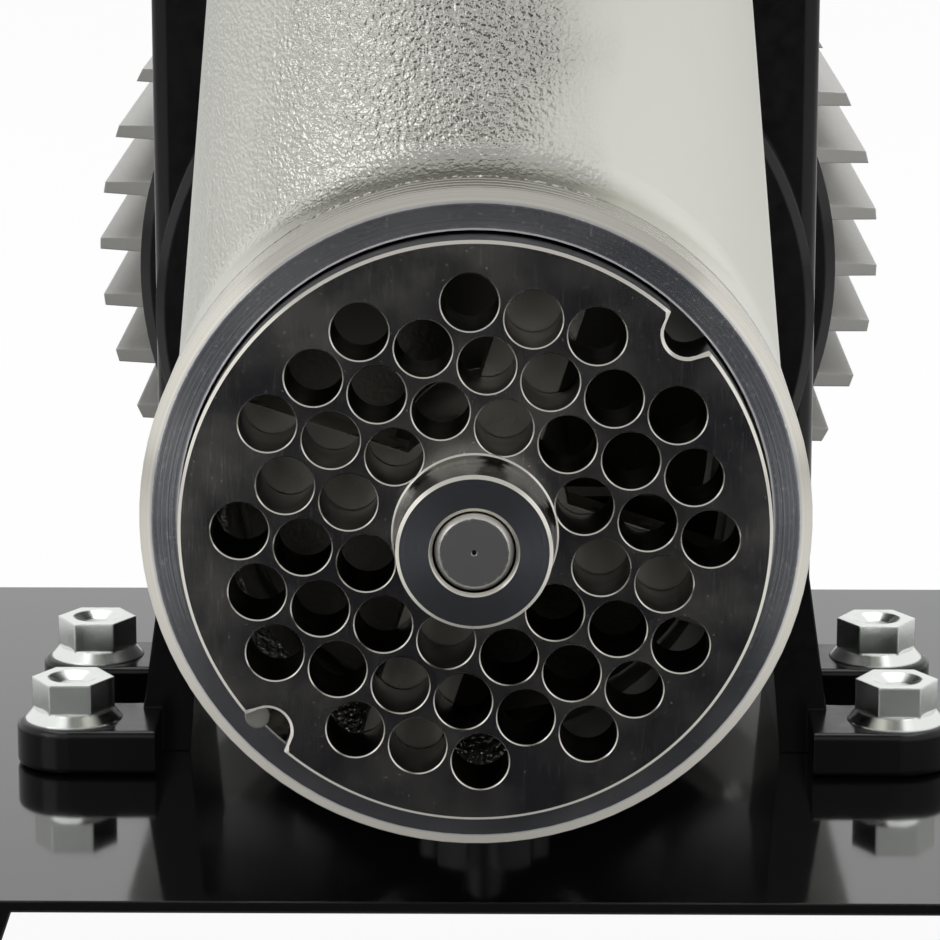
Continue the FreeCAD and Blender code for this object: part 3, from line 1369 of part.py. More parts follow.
def build_cowl():
    wall, corner = d.cowl_wall, d.cowl_corner
    outer = d.fin_radius
    inner = outer - wall
    shell = turned("cowl_body", [
        (cowl_front, inner), (cowl_front, outer), (cowl_back - corner, outer), (cowl_back, outer - corner),
        (cowl_back, 0.0), (cowl_back - wall, 0.0), (cowl_back - wall, inner - corner + wall * 0.4),
        (cowl_back - corner - wall * 0.4, inner)])
    place(shell, 0.0, 0.0, 0.0, AXIAL)
    # Level air slots across the round end
    slots = []
    rows = int(0.72 * d.fin_radius.value / d.grille_slot.value / 2.0)
    for row in range(-rows, rows + 1):
        level = d.grille_slot * 2.0 * float(row)
        reach = root(d.fan_radius * d.fan_radius - level * level)
        half = d.grille_slot / 2.0
        bar = d.grille_slot
        for side in (-1.0, 1.0):
            ends = sorted([bar * side, reach * side], key=lambda size: size.value)
            slots.append(block(f"cowl_slot{row + rows}_{int(side + 1)}", ends, (cowl_back - wall - 1.0, cowl_back + 1.0),
                               (level - half, level + half)))
    holes = []
    for number, (axis, sign) in enumerate(COWL_SCREWS):
        start = inner - 1.0 if sign > 0 else -outer - 1.0
        holes.append(rod(f"cowl_hole{number}", d.cowl_screw_radius + d.run_gap, start, wall + 2.0, axis,
                         y=cowl_screw_y()))
    finish_motor(cut("fan_cowl", shell, slots + holes), "fan_cowl")
    screws = []
    for number, (axis, sign) in enumerate(COWL_SCREWS):
        reach = d.cowl_screw_radius * 4.0
        head = d.cowl_screw_radius * 0.9
        low, cap = (outer - reach, outer) if sign > 0 else (-outer, -outer - head)
        screws.append(fuse(f"cowl_screw{number}", [
            rod(f"cowl_screw{number}_shank", d.cowl_screw_radius, low, reach, axis, y=cowl_screw_y()),
            rod(f"cowl_screw{number}_head", d.cowl_screw_radius * 1.8, cap, head, axis, y=cowl_screw_y())]))
    finish_motor(group("cowl_screws", screws), "cowl_screws")


# Terminal box on top of the motor


def lid_screw_places():
    inset = d.box_wall + d.lid_screw_radius * 1.6
    x = d.box_half - inset
    return [(side * x, y) for side in (-1.0, 1.0) for y in (box_front + inset, box_back - inset)]


def build_terminal_box():
    half, wall = d.box_half, d.box_wall
    outer = block("box_outer", (-half, half), (box_front, box_back), (d.box_base, box_top))
    inner = block("box_inner", (wall - half, half - wall), (box_front + wall, box_back - wall),
                  (d.box_base + wall, box_top + 1.0))
    posts = [rod(f"box_post{number}", d.lid_screw_radius * 1.8, d.box_base, d.box_height - d.lid_lip - d.fit_gap, "Z",
                 x, y=y) for number, (x, y) in enumerate(lid_screw_places())]
    holes = [rod(f"box_post_hole{number}", d.lid_screw_radius + d.seat_gap, box_top - d.lid_screw_length - 2.0,
                 d.lid_screw_length + 3.0, "Z", x, y=y)
             for number, (x, y) in enumerate(lid_screw_places())]
    y, z = switch_middle()
    window = block("box_switch_window", (half - wall - 1.0, half + 1.0),
                   (y - d.switch_length / 2.0, y + d.switch_length / 2.0),
                   (z - d.switch_height / 2.0, z + d.switch_height / 2.0))
    gland = rod("box_gland_hole", d.gland_radius * 0.7 + d.seat_gap, box_back - wall - 1.0, wall + 2.0, "Y",
                gland_x(), switch_middle()[1])
    wires = rod("box_wire_hole", d.wire_hole, d.box_base - 1.0, wall + 2.0, "Z", d.wire_hole_x,
                y=box_back - d.wire_hole_inset)
    shell = cut("box_shell", outer, [inner])
    finish_motor(cut("terminal_box", fuse("box_solid", [shell] + posts), holes + [window, gland, wires]), "terminal_box")
    lid = block("lid_top", (-half, half), (box_front, box_back), (box_top, box_top + d.lid_height))
    inset = wall + d.fit_gap
    lip = block("lid_lip", (inset - half, half - inset), (box_front + inset, box_back - inset),
                (box_top - d.lid_lip, box_top))
    lip_room = block("lid_room", (inset + wall - half, half - inset - wall),
                     (box_front + inset + wall, box_back - inset - wall), (box_top - d.lid_lip - 1.0, box_top))
    holes = [rod(f"lid_hole{number}", d.lid_screw_radius + d.run_gap, box_top - d.lid_lip - 1.0,
                 d.lid_lip + d.lid_height + 2.0, "Z", x, y=y) for number, (x, y) in enumerate(lid_screw_places())]
    finish_motor(cut("terminal_box_lid", fuse("lid_solid", [lid, lip]), [lip_room] + holes), "terminal_box_lid")
    screws = [screw(f"lid_screw{number}", d.lid_screw_radius, box_top + d.lid_height, d.lid_screw_length,
                    d.lid_screw_radius * 1.8, "Z", x, y) for number, (x, y) in enumerate(lid_screw_places())]
    finish_motor(group("lid_screws", screws), "lid_screws")


def gland_x():
    return d.box_half * 0.35


def switch_middle():
    return (box_front + box_back) / 2.0, d.box_base + d.box_height / 2.0


def build_capacitor():
    x = d.capacitor_inset + d.capacitor_radius - d.box_half
    z = d.box_base + d.box_wall + d.capacitor_radius + d.seat_gap
    start = box_front + (d.box_depth - d.capacitor_length) / 2.0
    can_end = start + d.capacitor_length - d.capacitor_cap * 1.5
    can = rod("capacitor_can", d.capacitor_radius, start, can_end - start, "Y", x, z)
    cap = rod("capacitor_cap", d.capacitor_radius * 0.9, can_end, d.capacitor_cap, "Y", x, z)
    pins = [rod(f"capacitor_pin{number}", d.capacitor_pin, can_end, d.capacitor_cap * 2.0, "Y",
                x + d.capacitor_radius * offset, z) for number, offset in enumerate((-0.4, 0.4))]
    finish_motor(fuse("start_capacitor", [can, cap] + pins), "start_capacitor")


def build_switch():
    y, z = switch_middle()
    length, height = d.switch_length - d.run_gap * 2.0, d.switch_height - d.run_gap * 2.0
    face = d.box_half
    back = face - d.switch_depth
    well_wall = d.switch_rim
    solid = fuse("switch_solid", [
        block("switch_case", (back, face), (y - length / 2.0, y + length / 2.0), (z - height / 2.0, z + height / 2.0)),
        block("switch_flange_plate", (face, face + d.switch_flange),
              (y - length / 2.0 - 2.0, y + length / 2.0 + 2.0), (z - height / 2.0 - 2.0, z + height / 2.0 + 2.0))])
    well = block("switch_well", (back + d.switch_depth * 0.3, face + d.switch_flange + 1.0),
                 (y - length / 2.0 + well_wall, y + length / 2.0 - well_wall),
                 (z - height / 2.0 + well_wall, z + height / 2.0 - well_wall))
    pivot = rocker_pivot()
    bore = rod("switch_pivot_hole", d.rocker_proud * 0.4 + d.run_gap, y - length / 2.0 + 0.8, length - 1.6, "Y",
               pivot[0], pivot[1])
    finish_motor(cut("switch_frame", solid, [well, bore]), "switch_frame")
    build_rocker(y, z, length - well_wall * 2.0, height - well_wall * 2.0)


def rocker_pivot():
    """X and Z of the rocker's pin."""
    return d.box_half - d.rocker_proud * 0.5, switch_middle()[1]


def build_rocker(y, z, length, height):
    """Rocker with two sloping faces, its upper end pressed in at rest."""
    px, pz = rocker_pivot()
    half = height / 2.0 - d.fit_gap * 3.0
    crown = d.rocker_proud
    outline = [(-crown, -half), (crown * 0.9 + d.switch_flange, -half), (crown * 0.35 + d.switch_flange, 0.0),
               (crown * 0.9 + d.switch_flange, half), (-crown, half)]
    start = y - length / 2.0 + d.fit_gap
    cap = padded("rocker_cap", "XZ_Plane", outline, length - d.fit_gap * 2.0, True)
    place(cap, px, start, pz, Rotation(Vector(0, 1, 0), d.rocker_tilt.value))
    cap.setExpression("Placement.Rotation.Angle", d.rocker_tilt.text)
    pin = rod("rocker_pin", d.rocker_proud * 0.4, y - length / 2.0 - d.switch_rim * 0.5, length + d.switch_rim, "Y",
              px, pz)
    finish_motor(fuse("switch_rocker", [cap, pin]), "switch_rocker")


def build_gland():
    outer = d.gland_radius
    wall_face = box_back
    bore = d.gland_bore
    body = turned("cable_gland", [
        (wall_face - d.box_wall, bore), (wall_face - d.box_wall, outer * 0.7), (wall_face, outer * 0.7),
        (wall_face, outer), (wall_face + d.gland_length * 0.4, outer),
        (wall_face + d.gland_length * 0.45, outer * 0.86), (wall_face + d.gland_length * 0.85, outer * 0.82),
        (wall_face + d.gland_length, outer * 0.6), (wall_face + d.gland_length, bore)])
    finish_motor(body, "cable_gland", AXIAL, x=gland_x(), z=switch_middle()[1])


BUILDERS = (
    build_stand, build_feet, build_plate, build_plate_pin, build_knife, build_auger_stud, build_auger, build_head,
    build_head_bush, build_tray, build_housing, build_foot_bolts, build_cover, build_gearbox_trim, build_bearings,
    build_clamp_knob, build_output, build_layshaft, build_rotor, build_fan, build_front_bell, build_frame,
    build_stator, build_rear_bell, build_tie_rods, build_cowl, build_terminal_box, build_capacitor, build_switch,
    build_gland,
)


def check_document():
    """Stops the build at any object that failed or any piece without a sound shape."""
    for item in doc.Objects:
        if "Invalid" in item.State or "Error" in item.State:
            raise RuntimeError(f"{item.Name} failed: {item.State}")
    for item in finished:
        if item.Shape.isNull() or not item.Shape.isValid() or not item.Shape.Solids:
            raise RuntimeError(f"{item.Label} has no sound shape")


def export():
    os.makedirs("parts", exist_ok=True)
    for item in finished:
        item.Shape.exportStep(f"parts/{item.Label}.step")


for build in BUILDERS:
    build()
doc.recompute()
check_document()
export()
print(len(finished), "pieces")
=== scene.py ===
import json
from functools import partial
from math import cos, pi, radians, sin, sqrt
from types import SimpleNamespace

import bmesh
import bpy
from bpy.props import FloatProperty, IntProperty, PointerProperty
from bpy.types import NodeSocket, Operator, Panel, PropertyGroup
from mathutils import Matrix, Vector


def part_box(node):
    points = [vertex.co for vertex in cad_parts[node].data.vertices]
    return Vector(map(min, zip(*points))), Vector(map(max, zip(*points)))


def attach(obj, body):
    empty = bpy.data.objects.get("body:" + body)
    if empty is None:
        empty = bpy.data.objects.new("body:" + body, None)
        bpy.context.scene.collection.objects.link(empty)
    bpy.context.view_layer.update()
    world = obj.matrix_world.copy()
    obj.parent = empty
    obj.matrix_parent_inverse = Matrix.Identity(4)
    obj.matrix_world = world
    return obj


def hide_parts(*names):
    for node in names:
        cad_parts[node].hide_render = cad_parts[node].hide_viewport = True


bl_info = {
    "name": "Meat Grinder Looks",
    "version": (1, 0, 0),
    "blender": (4, 5, 0),
    "location": "View3D > Sidebar > Grinder",
    "description": "Finishes, plate and studio for the electric meat grinder",
    "category": "Object",
}

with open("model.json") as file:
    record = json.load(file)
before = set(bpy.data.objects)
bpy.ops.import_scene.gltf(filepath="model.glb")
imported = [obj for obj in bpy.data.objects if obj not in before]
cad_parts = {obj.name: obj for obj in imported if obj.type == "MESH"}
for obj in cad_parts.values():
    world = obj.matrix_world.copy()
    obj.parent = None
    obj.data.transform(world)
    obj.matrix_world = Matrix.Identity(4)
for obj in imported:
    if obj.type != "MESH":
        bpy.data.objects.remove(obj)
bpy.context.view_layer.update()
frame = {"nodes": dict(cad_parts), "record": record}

MM = 0.001
SLOT_OF = {row["node"]: row["material_slot"] for row in frame["record"]["subparts"]}

# Places of the materials in the plate's pieces
FACE = 0
EDGE = 1
WALL = 2


class GrinderPlateSizes(PropertyGroup):
    """Sizes of the perforated plate."""

    radius: FloatProperty(
        name="Radius", description="Outer radius", default=0.041, unit="LENGTH")
    edge: FloatProperty(
        name="Edge", description="Chamfer of the outer edge", default=0.00045, unit="LENGTH")
    rim_steps: IntProperty(
        name="Rim steps", description="Segments of the outer edge", default=480)
    hole_radius: FloatProperty(
        name="Hole radius", description="Radius of a hole", default=0.004, unit="LENGTH")
    hole_pitch: FloatProperty(
        name="Hole pitch", description="Distance of two holes", default=0.009, unit="LENGTH")
    hole_edge: FloatProperty(
        name="Hole edge", description="Chamfer of a hole", default=0.00017, unit="LENGTH")
    hole_steps: IntProperty(
        name="Hole steps", description="Segments of a hole", default=48)
    turn: FloatProperty(
        name="Turn", description="Turn of the hole pattern", default=radians(14.8), subtype="ANGLE")
    hub_length: FloatProperty(
        name="Hub length", description="Hub in front of the face", default=0.0105, unit="LENGTH")
    hub_foot: FloatProperty(
        name="Hub foot", description="Hub radius at the face", default=0.0114, unit="LENGTH")
    hub_top: FloatProperty(
        name="Hub top", description="Hub radius at its end", default=0.0107, unit="LENGTH")
    hub_steps: IntProperty(
        name="Hub steps", description="Segments of the hub", default=128)
    bore: FloatProperty(
        name="Bore", description="Radius of the bore", default=0.0057, unit="LENGTH")
    bore_edge: FloatProperty(
        name="Bore edge", description="Chamfer of the bore", default=0.0005, unit="LENGTH")
    bore_steps: IntProperty(
        name="Bore steps", description="Segments of the bore", default=96)
    notch_radius: FloatProperty(
        name="Notch", description="Radius of a notch", default=0.0033, unit="LENGTH")
    notch_place: FloatProperty(
        name="Notch place", description="Notch centre radius", default=0.0404, unit="LENGTH")
    notch_turn: FloatProperty(
        name="Notch turn", description="Turn of the notches", default=radians(45.8), subtype="ANGLE")


class GrinderHeadSizes(PropertyGroup):
    """Sizes of the head's turned front and of its thread."""

    rim: FloatProperty(
        name="Rim", description="Rim behind the plate's face", default=0.0065, unit="LENGTH")
    # The lip's pale colour is partly a painted highlight
    lip_radius: FloatProperty(
        name="Lip", description="Worn inner edge of the rim", default=0.0417, unit="LENGTH")
    turned: FloatProperty(
        name="Turned", description="Length of the turned front", default=0.0122, unit="LENGTH")
    thread_start: FloatProperty(
        name="Start", description="Chamfer before the thread", default=0.0019, unit="LENGTH")
    thread_length: FloatProperty(
        name="Length", description="Length of the thread", default=0.0112, unit="LENGTH")
    thread_pitch: FloatProperty(
        name="Pitch", description="Pitch of the thread", default=0.0025, unit="LENGTH")
    thread_root: FloatProperty(
        name="Root", description="Radius inside the thread", default=0.045, unit="LENGTH")


class GrinderStudio(PropertyGroup):
    """Camera and light."""

    lens: FloatProperty(
        name="Lens", description="Focal length in mm", default=157.02)
    distance: FloatProperty(
        name="Distance", description="Depth of the plate's face", default=0.564, unit="LENGTH")
    pitch: FloatProperty(
        name="Pitch", description="Camera looks down", default=radians(12.5), subtype="ANGLE")
    yaw: FloatProperty(
        name="Yaw", description="Camera looks to its left", default=radians(0.65), subtype="ANGLE")
    aside: FloatProperty(
        name="Aside", description="Plate centre right of the middle", default=0.00069, unit="LENGTH")
    below: FloatProperty(
        name="Below", description="Plate centre below the middle", default=0.00894, unit="LENGTH")
    dim: FloatProperty(
        name="Dim", description="Brightness of the boards in front", default=0.05)
    card: FloatProperty(
        name="Card", description="Brightness of the card under the tray", default=0.6)
    glow: FloatProperty(
        name="Glow", description="Share of white that the eye adds to the floor", default=0.95)
    sky: FloatProperty(
        name="Sky", description="Even light from all round", default=0.35)


# Places that the looks are lined up with

def axis_height():
    """Height of the auger's axis."""
    low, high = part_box("grinding_plate")
    return (low.z + high.z) / 2


def plate_face():
    """Place of the plate's front face."""
    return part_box("grinding_plate")[0].y + bpy.context.scene.grinder_plate.hub_length


# Node helpers

def colour(code):
    """Linear colour of an sRGB hex code."""
    parts = [int(code[i:i + 2], 16) / 255 for i in (1, 3, 5)]
    return (*[p / 12.92 if p <= 0.04045 else ((p + 0.055) / 1.055) ** 2.4 for p in parts], 1.0)


def feed(tree, socket, value):
    """Links a socket into another one, or sets it to a plain value."""
    if isinstance(value, NodeSocket):
        tree.links.new(value, socket)
    else:
        socket.default_value = value


def add(tree, kind, inputs=None, **settings):
    """Adds a node with its settings and feeds its inputs."""
    made = tree.nodes.new(kind)
    for name, value in settings.items():
        setattr(made, name, value)
    for name, value in (inputs or {}).items():
        feed(tree, made.inputs[name], value)
    return made


def join(tree, shader, **sockets):
    """Feeds the shader's sockets, named with _ for a space."""
    for name, value in sockets.items():
        feed(tree, shader.inputs[name.replace("_", " ")], value)


def new_material(name):
    """A material with its tree, its shader and its place in metres."""
    made = bpy.data.materials.new(name)
    made.use_nodes = True
    tree = made.node_tree
    shader = tree.nodes["Principled BSDF"]
    place = add(tree, "ShaderNodeTexCoord").outputs["Object"]
    return made, tree, shader, place


def noise(tree, place, size, detail=2.0):
    """Noise with spots of about the given size in metres."""
    inputs = {"Vector": place, "Scale": 1.0 / size, "Detail": detail}
    return add(tree, "ShaderNodeTexNoise", inputs).outputs["Fac"]


def ring_noise(tree, radius, size):
    """Turning marks: noise that changes with the radius alone."""
    inputs = {"W": radius, "Scale": 1.0 / size, "Detail": 2.0}
    return add(tree, "ShaderNodeTexNoise", inputs, noise_dimensions="1D").outputs["Fac"]


def stretched(tree, place, scale, turn=0.0):
    """The place turned about Y and scaled, to draw spots out into lines."""
    inputs = {"Vector": place, "Rotation": (0.0, turn, 0.0), "Scale": scale}
    return add(tree, "ShaderNodeMapping", inputs).outputs["Vector"]


def ranged(tree, value, low, high, to_low, to_high):
    """The value moved from one range to another, held at its ends."""
    inputs = {"Value": value, "From Min": low, "From Max": high, "To Min": to_low, "To Max": to_high}
    return add(tree, "ShaderNodeMapRange", inputs).outputs["Result"]


def spread(tree, spots, to_low, to_high):
    """Noise, most of which lies between the two limits here, moved to a range of its own."""
    return ranged(tree, spots, 0.3, 0.7, to_low, to_high)


def grows(tree, value, start, end):
    """Nought up to the start, one from the end on."""
    return ranged(tree, value, start, end, 0.0, 1.0)


def fades(tree, value, start, end):
    """One up to the start, nought from the end on."""
    return ranged(tree, value, start, end, 1.0, 0.0)


def mixed(tree, factor, first, second):
    """Mix of two colours."""
    inputs = {0: factor, 6: first, 7: second}
    return add(tree, "ShaderNodeMix", inputs, data_type="RGBA").outputs[2]


def calc(tree, operation, *values):
    """One step of arithmetic."""
    return add(tree, "ShaderNodeMath", dict(enumerate(values)), operation=operation).outputs[0]


def rounded(tree, radius):
    """Normal that eases over sharp edges."""
    return add(tree, "ShaderNodeBevel", {"Radius": radius}, samples=4).outputs["Normal"]


def bumped(tree, height, depth, base=None):
    """Normal of a height field of the given depth in metres, over a base normal if there is one."""
    inputs = {"Height": height, "Distance": depth}
    if base:
        inputs["Normal"] = base
    return add(tree, "ShaderNodeBump", inputs).outputs["Normal"]


def about_axis(tree, place):
    """The place as seen from the auger's axis, and the way out from it."""
    parts = add(tree, "ShaderNodeSeparateXYZ", {"Vector": place}).outputs
    up = calc(tree, "SUBTRACT", parts["Z"], axis_height())
    flat = add(tree, "ShaderNodeCombineXYZ", {"X": parts["X"], "Y": 0.0, "Z": up}).outputs["Vector"]
    length = add(tree, "ShaderNodeVectorMath", {"Vector": flat}, operation="LENGTH")
    outward = add(tree, "ShaderNodeVectorMath", {"Vector": flat}, operation="NORMALIZE")
    return SimpleNamespace(radius=length.outputs["Value"], along=parts["Y"], side=parts["X"], up=up,
                           outward=outward.outputs["Vector"])


# Materials

def painted(name, code, roughness, grain, depth, gloss=0.5, edge=0.5 * MM):
    """Paint over metal: even colour, faint waves of a sprayed or dipped coat, soft edges."""
    made, tree, shader, place = new_material(name)
    fine = noise(tree, place, grain)
    join(tree, shader, Base_Color=colour(code), Specular_IOR_Level=gloss,
         Roughness=spread(tree, fine, roughness * 0.85, roughness * 1.15),
         Normal=bumped(tree, fine, depth, rounded(tree, edge)))
    return made


def plain_metal(name, code, roughness, grain, depth, edge=0.25 * MM):
    """Bare metal: cloudy sheen with fine grain and broken edges."""
    made, tree, shader, place = new_material(name)
    fine = noise(tree, place, grain, 3.0)
    cloud = noise(tree, place, grain * 30)
    join(tree, shader, Base_Color=colour(code), Metallic=1.0,
         Roughness=ranged(tree, cloud, 0.35, 0.65, roughness * 0.8, roughness * 1.2),
         Normal=bumped(tree, fine, depth, rounded(tree, edge)))
    return made


def moulded(name, code, roughness, grain=0.35 * MM):
    """Moulded plastic or rubber: fine spark-eroded grain."""
    made, tree, shader, place = new_material(name)
    fine = noise(tree, place, grain)
    join(tree, shader, Base_Color=colour(code),
         Roughness=spread(tree, fine, roughness * 0.9, roughness * 1.1),
         Normal=bumped(tree, fine, 0.02 * MM))
    return made


def pebble_and_painted_light_zone(tree, side, clouds):
    """Strength of the mould's pebbles: full in the middle, less on the left, faint on the right. The
    same mask paints the neck paler where the pebbles fade, a painted highlight for the light on its
    sides.
    """
    fray = 6 * MM
    faint = 0.06
    less = 0.5
    ragged = calc(tree, "ADD", side, spread(tree, clouds, -fray, fray))
    right = ranged(tree, ragged, 4 * MM, 18 * MM, 1.0, faint)
    left = ranged(tree, ragged, -36 * MM, -26 * MM, less, 1.0)
    return calc(tree, "MULTIPLY", right, left)


def collar_thread(tree, spot, rim):
    """Height of the thread's turns, which wind round the collar behind the rim."""
    head = bpy.context.scene.grinder_head
    lead = head.thread_pitch / 4
    start = rim + head.thread_start
    end = rim + head.thread_length
    angle = calc(tree, "ARCTAN2", spot.side, spot.up)
    winding = calc(tree, "MULTIPLY", spot.along, 2 * pi / head.thread_pitch)
    turns = calc(tree, "SINE", calc(tree, "ADD", winding, angle))
    begun = grows(tree, spot.along, start, start + lead)
    open_end = fades(tree, spot.along, end - lead, end)
    outside = calc(tree, "GREATER_THAN", spot.radius, head.thread_root)
    zone = calc(tree, "MULTIPLY", calc(tree, "MULTIPLY", begun, open_end), outside)
    return calc(tree, "MULTIPLY", turns, zone)


def turned_shade(tree, place, clouds, rings, face, lip):
    """Colour of the turned front: warm collar, bluish face with bright ticks, pale worn lip whose near
    white is also a painted highlight.
    """
    bright = colour("#f0f0f2")
    collar = mixed(tree, rings, colour("#c2beb6"), colour("#e2dfd6"))
    front = mixed(tree, grows(tree, clouds, 0.4, 0.6), colour("#9a9ca3"), colour("#bcbdc2"))
    ticks = ranged(tree, noise(tree, place, 0.6 * MM, 3.0), 0.58, 0.72, 0.0, 0.5)
    front = mixed(tree, ticks, front, bright)
    # The lip is worn and is also painted near white, a painted highlight for the thin line of light
    # along the rim's inner edge
    return mixed(tree, lip, mixed(tree, face, collar, front), bright)


def tinned_casting():
    """Tinned iron: warm silver skin with the pebbles of the sand mould, turned bright at its front;
    paler where the pebbles fade, a painted highlight.
    """
    made, tree, shader, place = new_material("tinned cast iron")
    head = bpy.context.scene.grinder_head
    spot = about_axis(tree, place)
    rim = plate_face() + head.rim
    end = rim + head.turned
    turned = fades(tree, spot.along, end, end + 1.2 * MM)
    face = fades(tree, spot.along, rim + 0.05 * MM, rim + 0.3 * MM)
    inside = fades(tree, spot.radius, head.lip_radius - 0.1 * MM, head.lip_radius)
    # Lip: the worn inner edge of the rim, which also carries a painted highlight
    lip = calc(tree, "MULTIPLY", face, inside)

    clouds = noise(tree, place, 22 * MM)
    rings = ring_noise(tree, spot.radius, 0.5 * MM)
    pebbles_and_painted_light = pebble_and_painted_light_zone(tree, spot.side, clouds)
    rough_skin = mixed(tree, clouds, colour("#b8b8b1"), colour("#cccbc4"))
    # Painted highlight: where the pebbles fade, mostly on the right, the skin turns to the pale
    # #e4e4dc that stands in for the light falling there
    skin = mixed(tree, pebbles_and_painted_light, colour("#e4e4dc"), rough_skin)
    steel = turned_shade(tree, place, clouds, rings, face, lip)

    relief = 0.42 * MM
    tool_marks = 0.04
    cast = calc(tree, "MULTIPLY", pebbles_and_painted_light, calc(tree, "SUBTRACT", 1.0, turned))
    pebbles = calc(tree, "MULTIPLY", noise(tree, place, 0.7 * MM, 1.0), cast)
    marks = calc(tree, "MULTIPLY", calc(tree, "MULTIPLY", rings, turned), tool_marks)
    height = calc(tree, "ADD", calc(tree, "ADD", pebbles, marks), collar_thread(tree, spot, rim))

    polished = 0.24
    satin = 0.5
    matt = 0.6
    worn = 0.65
    brushed = 0.7
    cast_sheen = ranged(tree, pebbles_and_painted_light, 0.0, 1.0, satin, polished)
    sheen = calc(tree, "MINIMUM", cast_sheen, ranged(tree, turned, 0.0, 1.0, matt, polished))
    sheen = calc(tree, "MAXIMUM", sheen, calc(tree, "MULTIPLY", lip, worn))
    join(tree, shader, Base_Color=mixed(tree, turned, skin, steel), Metallic=1.0, Roughness=sheen,
         Anisotropic=calc(tree, "MULTIPLY", face, brushed), Tangent=spot.outward,
         Normal=bumped(tree, height, relief))
    return made


def ground_plate_steel():
    """Ground steel of the plate: near black satin with short scratches and faint clouds."""
    made, tree, shader, place = new_material("ground tool steel")
    clouds = noise(tree, place, 11 * MM, 3.0)
    scratches = noise(tree, stretched(tree, place, (1.0, 1.0, 0.08), 0.7), 0.3 * MM)
    scratched = ranged(tree, scratches, 0.58, 0.75, 0.0, 0.5)
    specks = ranged(tree, noise(tree, place, 0.45 * MM, 1.0), 0.7, 0.76, 0.0, 0.9)
    shade = mixed(tree, grows(tree, clouds, 0.35, 0.65), colour("#74747a"), colour("#a09e9a"))
    shade = mixed(tree, scratched, shade, colour("#cfcdc8"))
    shade = mixed(tree, specks, shade, colour("#ffffff"))
    join(tree, shader, Base_Color=shade, Metallic=1.0,
         Roughness=spread(tree, clouds, 0.16, 0.24),
         Normal=bumped(tree, scratches, 0.004 * MM))
    return made


def turned_hub_steel():
    """Turned steel of the hub's end: dark, with concentric tool rings that catch a blue grey sheen."""
    made, tree, shader, place = new_material("turned hub steel")
    spot = about_axis(tree, place)
    rings = ring_noise(tree, spot.radius, 0.35 * MM)
    join(tree, shader, Base_Color=mixed(tree, rings, colour("#74767d"), colour("#9a9ca4")),
         Metallic=1.0, Roughness=0.24, Anisotropic=0.7, Tangent=spot.outward,
         Normal=bumped(tree, rings, 0.006 * MM))
    return made


def stud_steel():
    """End of the auger's stud: mid grey steel with a centre mark and worn, brighter edge."""
    made, tree, shader, place = new_material("worn stud steel")
    radius = about_axis(tree, place).radius
    wear = noise(tree, place, 0.8 * MM, 3.0)
    ragged = calc(tree, "ADD", radius, calc(tree, "MULTIPLY", wear, 1.2 * MM))
    edge = grows(tree, ragged, 5.1 * MM, 5.4 * MM)
    mark = fades(tree, radius, 0.25 * MM, 0.45 * MM)
    shade = mixed(tree, edge, colour("#b2b2b4"), colour("#e6e4de"))
    pits = calc(tree, "SUBTRACT", calc(tree, "MULTIPLY", wear, 0.05), mark)
    join(tree, shader, Base_Color=mixed(tree, mark, shade, colour("#2c2c2c")), Metallic=1.0,
         Roughness=0.3, Normal=bumped(tree, pits, 0.2 * MM))
    return made


def brushed_sheet():
    """Brushed stainless sheet: long fine lines that stretch the light."""
    made, tree, shader, place = new_material("brushed stainless")
    lines = noise(tree, stretched(tree, place, (0.02, 1.0, 1.0)), 0.4 * MM)
    join(tree, shader, Base_Color=mixed(tree, lines, colour("#b9b8b4"), colour("#d2d1cd")),
         Metallic=1.0, Roughness=spread(tree, lines, 0.26, 0.4),
         Normal=bumped(tree, lines, 0.01 * MM))
    return made


def stacked_sheets():
    """Laminated iron: thin sheets that show as lines across the motor's axis."""
    made, tree, shader, place = new_material("laminated iron")
    sheets = noise(tree, stretched(tree, place, (0.0, 1.0, 0.0)), 0.5 * MM, 0.0)
    join(tree, shader, Base_Color=mixed(tree, sheets, colour("#6a6b6e"), colour("#95979a")),
         Metallic=1.0, Roughness=0.45, Normal=bumped(tree, sheets, 0.1 * MM))
    return made


def wound_copper():
    """Enamelled copper wire: brown red strands with a lacquer sheen."""
    made, tree, shader, place = new_material("enamelled copper wire")
    strands = noise(tree, place, 1.2 * MM, 1.0)
    join(tree, shader, Base_Color=mixed(tree, strands, colour("#7c3a1c"), colour("#c2713f")),
         Metallic=1.0, Roughness=0.3, Coat_Weight=0.4, Normal=bumped(tree, strands, 0.4 * MM))
    return made


